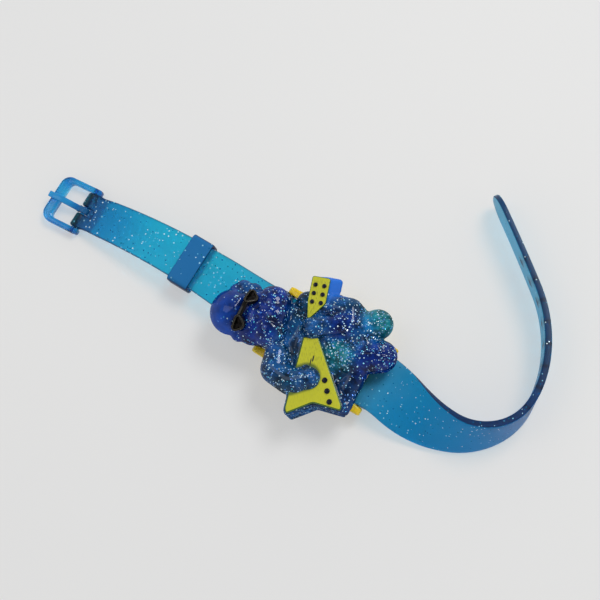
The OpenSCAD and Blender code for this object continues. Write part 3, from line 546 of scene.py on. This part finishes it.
wire(tree, mixed(tree, large, dusted, ramp(tree, large_chance[1], silver_stops)), shader["Base Color"])
either = calc(tree, "MAXIMUM", large, small)
wire(tree, calc(tree, "MULTIPLY", either, 0.25), shader["Metallic"])
wire(tree, remap(tree, either, onto=(0.32, 0.22)), shader["Roughness"])
wire(tree, add(tree, "Mix", {0: large, 4: small_normal, 5: large_normal}, data_type="VECTOR").outputs[1],
     shader["Normal"])

figure = piece("musician", bm, [figure_blue], "cover", ["figure"], sharp=80)
tint_layer = figure.data.attributes.new("tint", "FLOAT_COLOR", "POINT")
tint_and_alpha = np.column_stack([tinted, np.ones(len(tinted))])
tint_layer.data.foreach_set("color", tint_and_alpha.astype(np.float32).ravel())
sparkle_layer = figure.data.attributes.new("sparkle", "FLOAT", "POINT")
sparkle_layer.data.foreach_set("value", sparkle.astype(np.float32))
least_gloss, more_gloss, steepness = 0.06, 0.5, 1.6
gloss = least_gloss + more_gloss * np.clip(facing[:, 2] * steepness, 0, 1)
gloss_layer = figure.data.attributes.new("gloss", "FLOAT", "POINT")
gloss_layer.data.foreach_set("value", gloss.astype(np.float32))


# Guitar front: a forked yellow plate on the blue body and a second one on the headstock, with the
# hands lying over them. Gloss plastic, worn dark at the neck, with a green rim that is partly painted edge
# shadow.
def turned_by(tree, vector, angle):
    """A vector turned about Z."""
    return add(tree, "VectorRotate", {"Vector": vector, "Angle": angle}, rotation_type="Z_AXIS").outputs[0]


guitar_at, guitar_turn = Vector((-2.7, -0.65, 0)) * MM, math.radians(34.0)
headstock_at, headstock_turn = Vector((-5.4, 4.75, 0)) * MM, math.radians(20.5)
guitar_yellow, tree, shader = new_finish("guitar_yellow", Coat_Weight=0.3, Coat_Roughness=0.15)
place = add(tree, "TexCoord").outputs["Object"]
along = add(tree, "Mapping", {0: place, "Location": -guitar_at}, vector_type="POINT").outputs[0]
turned = turned_by(tree, along, -guitar_turn)
clouds = noise(tree, place, scale=240.0, detail=4.0)
streak = add(tree, "Mapping", {0: turned, "Scale": (6.0, 0.8, 1.0)}).outputs[0]
streaks = noise(tree, streak, scale=900.0, detail=3.0)
worn = noise(tree, streak, scale=420.0, detail=5.0)
up_neck = add(tree, "SeparateXYZ", {0: turned}).outputs["Y"]
neck = remap(tree, up_neck, (-9.0 * MM, -5.0 * MM), (0.3, 0.9))
scuffed = 0.0
scuffs = ((0.5, -4.7, 0), 0.2, 0.95, 17.0), ((-0.25, -5.6, 0), 0.16, 1.0, 12.0)
for middle, half_wide, half_long, lean in scuffs:
    off = add(tree, "VectorMath", {0: turned, 1: Vector(middle) * MM}, operation="SUBTRACT").outputs[0]
    upright = turned_by(tree, off, math.radians(lean))
    sized = add(tree, "VectorMath", {0: upright, 1: (1 / half_wide / MM, 1 / half_long / MM, 0)},
                operation="MULTIPLY").outputs[0]
    away = add(tree, "VectorMath", {0: sized}, operation="LENGTH").outputs["Value"]
    ragged = calc(tree, "ADD", away, calc(tree, "MULTIPLY", worn, 0.9))
    scuffed = calc(tree, "MAXIMUM", remap(tree, ragged, (1.7, 1.3)), scuffed)
# The hand and forearm seen from above, as a round-ended strip; a painted shadow darkens the yellow along
# its edge.
hand_from, hand_to = Vector((1.45, -9.2, 0)) * MM, Vector((-1.8, -12.85, 0)) * MM
hand_half, shade_wide = 3.36 * MM, 0.65 * MM
reach = (hand_to - hand_from).normalized()
off = add(tree, "VectorMath", {0: place, 1: hand_from}, operation="SUBTRACT").outputs[0]
flat = add(tree, "VectorMath", {0: off, 1: (1, 1, 0)}, operation="MULTIPLY").outputs[0]
down = add(tree, "VectorMath", {0: flat, 1: reach}, operation="DOT_PRODUCT").outputs["Value"]
held = add(tree, "Clamp", {0: down, 1: 0.0, 2: (hand_to - hand_from).length}).outputs[0]
spine = add(tree, "VectorMath", {0: reach, "Scale": held}, operation="SCALE").outputs[0]
away = add(tree, "VectorMath", {0: flat, 1: spine}, operation="DISTANCE").outputs["Value"]
hand_shadow_paint = remap(tree, away, (hand_half, hand_half + shade_wide), (0.85, 0.0))
even_yellow = mixed(tree, clouds, paint(194, 194, 26), paint(184, 186, 18))
# Painted shadow: dark green mixed into the yellow round the hand.
ground = mixed(tree, hand_shadow_paint, even_yellow, paint(46, 82, 18))
drawn = mixed(tree, remap(tree, streaks, (0.52, 0.7), (0.0, neck)), ground, paint(136, 136, 16))
wire(tree, mixed(tree, scuffed, drawn, paint(30, 36, 18)), shader["Base Color"])
wire(tree, remap(tree, streaks, onto=(0.28, 0.42)), shader["Roughness"])
wire(tree, bump(tree, streaks, strength=0.12, depth=0.06 * MM), shader["Normal"])
rim_green_and_shade = moulded("guitar_rim_green_and_shade", paint(66, 104, 26), paint(48, 90, 32), rough=0.3)
guitar_shape = [(-2.0, 1.3, 0.2), (-7.65, -17.65, 0.6), (-7.24, -19.0, 0.5), (0.0, -16.5, 0.6),
                (7.24, -19.0, 0.5), (7.65, -17.65, 0.6), (2.0, 1.3, 0.2)]
headstock_shape = [(-1.7, 0.0, 0.1), (-0.9, 0.0, 0.1), (2.5, 4.6, 0.5), (2.5, 11.6, 0.6), (-2.5, 11.6, 0.6),
                   (-2.5, 4.8, 0.3)]
guitar_rim, headstock_rim, top_facing = 0.34 * MM, 0.18 * MM, 0.99
for node, name, shape, at, turn, rim in (
        ("guitar_face", "guitar_front", guitar_shape, guitar_at, guitar_turn, guitar_rim),
        ("headstock_face", "headstock_front", headstock_shape,
         headstock_at, headstock_turn, headstock_rim)):
    low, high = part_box(node)
    bm = bmesh.new()
    corners = [bm.verts.new((x * MM, y * MM, 0)) for x, y, _ in shape]
    bm.faces.new(corners)
    for corner, (_, _, radius) in zip(corners, shape):
        bmesh.ops.bevel(bm, geom=[corner], offset=radius * MM, affect="VERTICES", segments=4,
                        profile=0.5, material=-1)
    thicken(bm, bm.faces[:], high.z - low.z)
    bmesh.ops.recalc_face_normals(bm, faces=bm.faces)
    edges = [e for e in bm.edges if min(v.co.z for v in e.verts) > 1e-6]
    bmesh.ops.bevel(bm, geom=edges, offset=rim, affect="EDGES", segments=3, profile=0.5, material=-1)
    bm.normal_update()
    # Faces off the flat top take the rim finish: the plate's green edge together with painted edge shadow.
    for face in bm.faces:
        face.material_index = 0 if face.normal.z > top_facing else 1
    bmesh.ops.transform(bm, verts=bm.verts, matrix=Matrix.Translation((at.x, at.y, low.z))
                        @ Matrix.Rotation(turn, 4, "Z"))
    piece(name, bm, [guitar_yellow, rim_green_and_shade], "cover", [node], sharp=12)

# Pegs and knobs: six small studs on the headstock and three on one wing of the guitar, near-black
# gloss plastic pressed into the yellow front.
stud_black = moulded("stud_black", paint(14, 20, 40), paint(9, 13, 27), rough=0.18, Specular_IOR_Level=0.25)
for node, name in (("headstock_pegs", "headstock_studs"), ("guitar_knobs", "wing_studs")):
    bm = cad_copy(node)
    round_edges(bm, 0.14 * MM, steps=3)
    piece(name, bm, [stud_black], "cover", [node])

# Sunglasses: one black moulding of two thick rims and a bridge, set into the face, with dark smoked
# lenses set back in them. The upper edges of the rims carry a pale painted highlight.
glasses_at, glasses_turn = Vector((-21.9, -2.85, plate_top + 4.35)) * MM, math.radians(6.0)
glasses_place = Matrix.Translation(glasses_at) @ Matrix.Rotation(glasses_turn, 4, "Z")
lens_half, lens_roll = 3.4 * MM, math.radians(32.0)
lens_long, lens_drop, brow_round, cheek_round = 2.45 * MM, 1.7 * MM, 1.05 * MM, 1.5 * MM
rim_wide, rim_thick, rim_soft = 0.5 * MM, 1.5 * MM, 0.17 * MM
lens_lip, lens_depth = 0.06 * MM, 0.55 * MM
highlight_band, highlight_from, highlight_to = 0.2 * MM, 0.4, 0.9
lens_swell = ((0.5 * MM, 0.16 * MM), (0.6 * MM, 0.08 * MM))
bridge_at, bridge_soft = Vector((-0.75, 0, 1.5)) * MM, 0.22 * MM
bridge_size = (1.3 * MM, 4.2 * MM, 1.0 * MM, 1.0)
cheek = Vector((lens_drop - cheek_round, 0))
brow = Vector((brow_round - lens_drop, lens_long - brow_round))
slope = brow - cheek
meeting = math.atan2(slope.y, slope.x) - math.acos((cheek_round - brow_round) / slope.length)
cheek_points, brow_points = 15, 10


def arc(middle, radius, start, end, count):
    """Points round a middle, from one angle to another."""
    return [middle + radius * Vector((math.cos(a), math.sin(a))) for a in np.linspace(start, end, count)]


lens_ring = arc(cheek, cheek_round, -meeting, meeting, cheek_points)
lens_ring += arc(brow, brow_round, meeting, math.pi, brow_points)
lens_ring += [Vector((p.x, -p.y)) for p in reversed(lens_ring[cheek_points:])]
frame_black = moulded("frame_black", paint(9, 8, 6), paint(17, 14, 11), rough=0.04, Specular_IOR_Level=0.32)
frame_painted_highlight = moulded("frame_painted_highlight", paint(92, 86, 66), paint(56, 50, 40), rough=0.12, Specular_IOR_Level=0.4)
lens_smoke, tree, shader = new_finish("lens_smoke", Roughness=0.05, Specular_IOR_Level=0.12)
place = add(tree, "TexCoord").outputs["Object"]
haze = noise(tree, place, scale=420.0, detail=2.0)
wire(tree, mixed(tree, haze, paint(5, 4, 4), paint(20, 14, 10)), shader["Base Color"])
bm = bmesh.new()
for side in (-1, 1):
    lens = bmesh.new()
    lens.faces.new([lens.verts.new((p.x, p.y, 0)) for p in lens_ring])
    _, top = thicken(lens, lens.faces[:], rim_thick)
    bmesh.ops.inset_region(lens, faces=top, thickness=rim_wide)
    bmesh.ops.inset_region(lens, faces=top, thickness=lens_lip, depth=-lens_depth)
    round_edges(lens, rim_soft, steps=3, sharper_than=50)
    glass = [max(lens.faces, key=lambda f: len(f.verts) + f.calc_center_median().z)]
    glass[0].material_index = 1
    for step, lift in lens_swell:
        for face in bmesh.ops.inset_region(lens, faces=glass, thickness=step, depth=lift)["faces"]:
            face.material_index = 1
    bmesh.ops.recalc_face_normals(lens, faces=lens.faces)
    # Painted highlight: the sloping faces at the top of each rim get a pale finish.
    for face in lens.faces:
        at_top = face.calc_center_median().z > rim_thick - highlight_band
        if face.material_index == 0 and highlight_from < face.normal.z < highlight_to and at_top:
            face.material_index = 2
    bmesh.ops.transform(lens, verts=lens.verts, matrix=glasses_place @ Matrix.Translation(
        (0, side * lens_half, 0)) @ Matrix.Rotation(-side * lens_roll, 4, "X"))
    lens_mesh = bpy.data.meshes.new("lens")
    lens.to_mesh(lens_mesh)
    lens.free()
    bm.from_mesh(lens_mesh)
    bpy.data.meshes.remove(lens_mesh)
bridge = bmesh.ops.create_cube(bm, size=1.0, matrix=glasses_place @ Matrix.Translation(bridge_at)
                               @ Matrix.Diagonal(bridge_size))["verts"]
bridge_edges = list({e for v in bridge for e in v.link_edges})
bmesh.ops.bevel(bm, geom=bridge_edges, offset=bridge_soft, affect="EDGES", segments=3,
                profile=0.5, material=-1)
piece("dark_glasses", bm, [frame_black, lens_smoke, frame_painted_highlight], "cover", ["sunglasses"])


# Buckle strap: the short half, one soft moulding of clear blue plastic with scattered flakes. Its end
# is folded round the buckle pin and welded, so the last stretch is darker.
def shine_through(tree, tint):
    """Lets the light of the lamps through, coloured by the plastic, so that its shadow is blue."""
    clear = add(tree, "BsdfTransparent", {"Color": tint})
    both = add(tree, "MixShader", {0: add(tree, "LightPath").outputs["Is Shadow Ray"],
                                   1: tree.nodes["Principled BSDF"].outputs[0], 2: clear.outputs[0]})
    wire(tree, both.outputs[0], tree.nodes["Material Output"].inputs["Surface"])


def strap_plastic(name, stops, length, along, edge_shade, spacing, share, fleck_size, clear):
    """Clear blue strap: colours along its length, painted shade in a deeper colour on its narrow sides,
    drifts of pale flakes and small dark specks."""
    made, tree, shader = new_finish(name, Specular_IOR_Level=0.2, IOR=1.3)
    place = add(tree, "TexCoord").outputs["Object"]
    where = along(tree)
    clouds = noise(tree, place, scale=130.0, detail=3.0)
    wander = calc(tree, "MULTIPLY_ADD", clouds, 0.03)
    wander.node.inputs[2].default_value = -0.015
    ground = ramp(tree, calc(tree, "ADD", calc(tree, "DIVIDE", where, length), wander), stops)
    # Painted shade: deep navy where the given mask marks the narrow sides.
    edge_shaded = mixed(tree, edge_shade(tree), ground, paint(16, 42, 84))
    drifts = noise(tree, place, scale=95.0, detail=2.0)
    crowd = remap(tree, drifts, (0.38, 0.62), (share * 0.5, share * 1.6))
    there, chance, normal = flakes(tree, spacing, crowd, fleck_size, tilt=1.0)
    bright = calc(tree, "GREATER_THAN", chance[1], 0.34)
    dull_stops = [(0.0, paint(22, 112, 176)), (0.6, paint(26, 128, 182)), (1.0, paint(24, 122, 142))]
    pale_stops = [(0.0, paint(120, 206, 240)), (0.5, paint(228, 248, 255)), (1.0, paint(84, 196, 228))]
    fleck = mixed(tree, bright, ramp(tree, chance[2], dull_stops), ramp(tree, chance[2], pale_stops))
    wire(tree, mixed(tree, there, edge_shaded, fleck), shader["Base Color"])
    wire(tree, calc(tree, "MULTIPLY", calc(tree, "MULTIPLY", there, bright), 0.3), shader["Metallic"])
    wire(tree, remap(tree, clouds, onto=(0.32, 0.46)), shader["Roughness"])
    wire(tree, calc(tree, "MULTIPLY", clear(tree), remap(tree, there, onto=(1.0, 0.1))),
         shader["Transmission Weight"])
    wire(tree, normal, shader["Normal"])
    shine_through(tree, (0.12, 0.58, 0.7, 1.0))
    return made


short_start, short_length = -15.8 * MM, 65.5 * MM


def short_along(tree):
    place = add(tree, "SeparateXYZ", {0: add(tree, "TexCoord").outputs["Object"]}).outputs["X"]
    return calc(tree, "SUBTRACT", short_start, place)


# Painted shade on the faces that turn towards the strap's sides.
def short_edge_shade(tree):
    lean = add(tree, "SeparateXYZ", {0: add(tree, "TexCoord").outputs["Normal"]}).outputs["Y"]
    return remap(tree, calc(tree, "ABSOLUTE", lean), (0.2, 0.9))


# The last stops are darker where the plastic lies doubled; the very end is painted shadow in the fold.
short_blue = strap_plastic(
    "short_strap_blue",
    [(0.0, paint(26, 148, 196)), (0.12, paint(30, 182, 216)), (0.4, paint(30, 190, 220)),
     (0.66, paint(30, 188, 220)), (0.8, paint(26, 164, 210)), (0.908, paint(26, 152, 204)),
     (0.918, paint(38, 118, 174)), (0.985, paint(32, 104, 162)), (1.0, paint(24, 92, 108))],
    short_length, short_along, short_edge_shade,
    spacing=0.8 * MM, share=0.36, fleck_size=0.27, clear=lambda tree: 0.85)
bm = cad_copy("buckle_strap")
round_edges(bm, 0.5 * MM, steps=4, sharper_than=40)

# The slot for the prong is closed by a web at its end and a low strip down each side. The web leans back
# at its top, so that the prong swings clear.
fold_at, fold_lean = Vector((-81.3, -1.15, 1.6)) * MM, math.radians(-13.1)
fold_place = Matrix.Translation(fold_at) @ Matrix.Rotation(fold_lean, 4, "Y")
web_at, web_size, web_lean = Vector((2.49, 0, -0.22)) * MM, (1.55 * MM, 2.6 * MM, 1.45 * MM, 1.0), 0.22
strip_at, strip_aside, strip_size = (0.9, -0.7), 1.13, (1.8 * MM, 0.32 * MM, 0.5 * MM, 1.0)
web = bmesh.ops.create_cube(bm, size=1.0)["verts"]
for v in web:
    if v.co.x < 0 < v.co.z:
        v.co.x += web_lean
web_place = fold_place @ Matrix.Translation(web_at) @ Matrix.Diagonal(web_size)
bmesh.ops.transform(bm, verts=web, matrix=web_place)
for side in (-1, 1):
    strip_place = Matrix.Translation(Vector((strip_at[0], side * strip_aside, strip_at[1])) * MM)
    bmesh.ops.create_cube(bm, size=1.0, matrix=fold_place @ strip_place @ Matrix.Diagonal(strip_size))
piece("short_strap", bm, [short_blue], "buckle_strap", ["buckle_strap"])


# Keeper: a loose loop of the same plastic round the short strap, darker and less clear. It slides along
# the strap and takes the tip of the other half.
# Painted shade on the keeper's faces that do not face up.
def keeper_side_shade(tree):
    lean = add(tree, "SeparateXYZ", {0: add(tree, "TexCoord").outputs["Normal"]}).outputs["Z"]
    return remap(tree, lean, (0.85, 0.3))


keeper_blue = strap_plastic(
    "keeper_blue", [(0.0, paint(36, 116, 176)), (1.0, paint(34, 110, 170))],
    short_length, short_along, keeper_side_shade,
    spacing=0.9 * MM, share=0.24, fleck_size=0.25, clear=lambda tree: 0.15)
bm = cad_copy("keeper")
round_edges(bm, 0.3 * MM, steps=3, sharper_than=40)
piece("strap_keeper", bm, [keeper_blue], "keeper", ["keeper"])


# Buckle: a clear blue frame of harder plastic on a pin, with a prong that lies over its outer bar.
# Both are plain mouldings with rounded edges; the prong's eye, in the fold of the strap, has painted shade.
def buckle_plastic(name, stops, along, clear):
    """Clear blue plastic of the buckle, smooth, with its colour drifting along a value."""
    made, tree, shader = new_finish(name, Transmission_Weight=clear, IOR=1.42, Specular_IOR_Level=0.3)
    place = add(tree, "TexCoord").outputs["Object"]
    rubbed = noise(tree, place, scale=240.0, detail=2.0)
    wire(tree, ramp(tree, along(tree, place), stops), shader["Base Color"])
    wire(tree, remap(tree, rubbed, (0.35, 0.7), (0.08, 0.15)), shader["Roughness"])
    shine_through(tree, (0.14, 0.56, 0.74, 1.0))
    return made


def loop_clouds(tree, place):
    return noise(tree, place, scale=150.0, detail=1.0)


tongue_pin, tongue_tip = -81.3 * MM, -92.3 * MM


def tongue_reach(tree, place):
    """How far along the tongue: 0 at the pin, 1 at its tip."""
    x = add(tree, "SeparateXYZ", {0: place}).outputs["X"]
    return remap(tree, x, (tongue_pin, tongue_tip))


buckle_blue = buckle_plastic(
    "buckle_blue", [(0.36, paint(22, 104, 192)), (0.5, paint(34, 148, 214)), (0.64, paint(66, 194, 230))],
    loop_clouds, clear=0.88)
# Painted shade: the tongue runs from dark at its eye in the fold to bright towards its tip.
tongue_blue = buckle_plastic(
    "tongue_blue", [(0.0, paint(34, 104, 158)), (0.2, paint(32, 114, 180)), (0.4, paint(44, 148, 206)),
                    (1.0, paint(56, 160, 214))], tongue_reach, clear=0.3)
bm = cad_copy("buckle_frame")
round_edges(bm, 0.45 * MM, steps=3, sharper_than=40)
piece("buckle_loop", bm, [buckle_blue], "buckle", ["buckle_frame"])
bm = cad_copy("prong")
round_edges(bm, 0.25 * MM, steps=3, sharper_than=40)
piece("buckle_tongue", bm, [tongue_blue], "prong", ["prong"])
dress("buckle_pin", buckle_blue)

# Hole strap: the long half, of the same plastic. It leaves the lugs flat, twists up on its edge and
# curls back, and has eight round holes and a rounded tip. Its lengths are in millimetres.
long_length = 109.5
# Each stretch of the strap: its share of the length, and its bend in degrees.
long_bends = [(0.073, -14), (0.091, 14), (0.064, 12), (0.119, 40),
              (0.096, 38), (0.137, 26), (0.164, 26), (0.256, 3)]
pin_x, pin_z = 15.8, 4.6
strap_wide, strap_tip, strap_thick, tip_thick, strap_loop = 16.0, 11.4, 2.0, 1.5, 2.0
root = strap_loop - 0.2
twist_from, twist_to, twist_end, twist_ease = 5.0, 53.0, math.radians(93.0), 1.6
settle, tip_round, tip_least = 20.0, 6.0, 0.06
first_hole, hole_pitch, hole_count, hole_radius = 20.0, 6.0, 8, 1.0
cell, long_soft, hole_band, edge_band = 1.5, 0.32, 0.1, 0.12
loop_bore, loop_sides = 0.8, 40


def between(s, stops):
    """A value between stops along the strap."""
    for (s0, w0), (s1, w1) in zip(stops, stops[1:]):
        if s <= s1:
            return w0 + (w1 - w0) * (s - s0) / (s1 - s0)
    return stops[-1][1]


long_widths = [(0.0, strap_wide), (long_length * 0.32, strap_tip + 0.5 * (strap_wide - strap_tip)),
               (long_length * 0.7, strap_tip + 0.1 * (strap_wide - strap_tip)), (long_length, strap_tip)]


def long_width(s):
    rounding = max(0.0, (s - long_length + tip_round) / tip_round)
    return between(s, long_widths) * math.sqrt(max(tip_least, 1 - rounding * rounding))


def long_frame(s):
    """Middle of the strap at a distance along it, with its across and up directions."""
    x, y, heading, left = pin_x, 0.0, 0.0, s
    for share, bend in long_bends:
        reach = min(left, share * long_length)
        turn = math.radians(bend) * reach / (share * long_length)
        step = reach * (math.sin(turn / 2) / (turn / 2) if abs(turn) > 1e-6 else 1.0)
        x += step * math.cos(heading + turn / 2)
        y += step * math.sin(heading + turn / 2)
        heading += turn
        left -= reach
    way = min(1.0, max(0.0, (s - twist_from) / (twist_to - twist_from)))
    twist = twist_end * (1 - (1 - way) ** twist_ease)
    drop = min(1.0, max(0.0, s / settle))
    height = (between(s, long_widths) / 2 * math.sin(twist) + strap_thick / 2 * abs(math.cos(twist))
              + (pin_z + strap_loop - strap_thick) * (1 - drop * drop * (3 - 2 * drop)))
    sideways, up = Vector((-math.sin(heading), math.cos(heading), 0)), Vector((0, 0, 1))
    return (Vector((x, y, height)), math.cos(twist) * sideways + math.sin(twist) * up,
            math.cos(twist) * up - math.sin(twist) * sideways)


holes = [long_length - first_hole - hole_pitch * i for i in range(hole_count)]
start = holes[0] - cell * int((holes[0] + root) // cell)
columns = int(round((long_length - 0.5 - start) / cell))
bm = bmesh.new()
bmesh.ops.create_grid(bm, x_segments=columns, y_segments=8, size=0.5)
for v in bm.verts:
    column = round((v.co.x + 0.5) * columns)
    v.co = (start + cell * column, v.co.y * strap_wide, 0.0)
    v.co.x = -root if column == 0 else long_length if column == columns else v.co.x
tip_edges = [e for e in bm.edges if abs(e.verts[0].co.y - e.verts[1].co.y) < 1e-6
             and min(v.co.x for v in e.verts) > long_length - tip_round - cell]
bmesh.ops.subdivide_edges(bm, edges=tip_edges, cuts=3)
hole_middles = [v for v in bm.verts if abs(v.co.y) < 1e-4 and min(abs(v.co.x - h) for h in holes) < 1e-3]
bmesh.ops.bevel(bm, geom=hole_middles, offset=hole_radius, offset_type="OFFSET", affect="VERTICES",
                segments=4, profile=0.5, material=-1)
plugs = []
for hole in holes:
    middle = Vector((hole, 0, 0))
    plug = min(bm.faces, key=lambda f: (f.calc_center_median() - middle).length)
    stretch = strap_wide / long_width(hole)
    for v in plug.verts:
        away = (v.co - middle).normalized() * hole_radius
        v.co = middle + Vector((away.x, away.y * stretch, 0))
    plugs.append(plug)
bmesh.ops.delete(bm, geom=plugs, context="FACES_ONLY")
thicken(bm, bm.faces[:], strap_thick)
bmesh.ops.translate(bm, verts=bm.verts, vec=(0, 0, -strap_thick / 2))
bmesh.ops.recalc_face_normals(bm, faces=bm.faces)
round_edges(bm, long_soft, steps=3, sharper_than=60)
along_layer = bm.verts.layers.float.new("along")
edge_shade_layer = bm.verts.layers.float.new("side")
for v in bm.verts:
    s, y, z = v.co
    middle, across, up = long_frame(s)
    thinner = min(1.0, max(0.0, 2 * s / long_length - 1))
    z *= 1 + (tip_thick / strap_thick - 1) * thinner * thinner * (3 - 2 * thinner)
    v[along_layer] = s
    # Painted shade: full at the walls of the holes and the upper edge, less at the lower edge of the far
    # half.
    from_hole = min(math.hypot(s - hole, y * long_width(s) / strap_wide) for hole in holes)
    at_hole = from_hole < hole_radius + hole_band
    lower_edge_shade = y < edge_band - strap_wide / 2 and s > long_length / 2
    v[edge_shade_layer] = 1.0 if at_hole or y > strap_wide / 2 - edge_band else 0.7 if lower_edge_shade else 0.0
    v.co = (middle + across * y * long_width(s) / strap_wide + up * z) * MM
loop = bmesh.ops.create_circle(bm, cap_ends=False, segments=loop_sides, radius=strap_loop * MM)["verts"]
inner = bmesh.ops.create_circle(bm, cap_ends=False, segments=loop_sides, radius=loop_bore * MM)["verts"]
ring = bmesh.ops.bridge_loops(bm, edges=list({e for v in loop + inner for e in v.link_edges}))["faces"]
far_side, _ = thicken(bm, ring, strap_wide * MM)
loop_at = Vector((pin_x, strap_wide / 2, pin_z)) * MM
loop_place = Matrix.Translation(loop_at) @ Matrix.Rotation(math.pi / 2, 4, "X")
bmesh.ops.transform(bm, verts=list(set(loop + inner + far_side)), matrix=loop_place)
bmesh.ops.recalc_face_normals(bm, faces=bm.faces)


def long_along(tree):
    return add(tree, "Attribute", attribute_name="along").outputs["Fac"]


# Painted shade, carried by the side attribute.
def long_edge_shade(tree):
    return add(tree, "Attribute", attribute_name="side").outputs["Fac"]


def long_clear(tree):
    """How clear the plastic is along the strap: cloudy at the loop on the pin, clear at the tip."""
    stops = [(at, (c, c, c, 1)) for at, c in ((0.05, 0.3), (0.2, 0.75), (0.35, 0.8), (0.55, 0.95))]
    return ramp(tree, calc(tree, "DIVIDE", long_along(tree), long_length), stops)


long_blue = strap_plastic(
    "long_strap_blue",
    [(0.0, paint(60, 150, 190)), (0.06, paint(36, 146, 194)), (0.14, paint(10, 148, 200)),
     (0.3, paint(3, 136, 196)), (0.45, paint(6, 108, 176)), (0.6, paint(44, 172, 210)),
     (1.0, paint(72, 178, 214))],
    long_length, long_along, long_edge_shade,
    spacing=0.8 * MM, share=0.32, fleck_size=0.22, clear=long_clear)
piece("long_strap", bm, [long_blue], "hole_strap", ["hole_strap"], sharp=50)
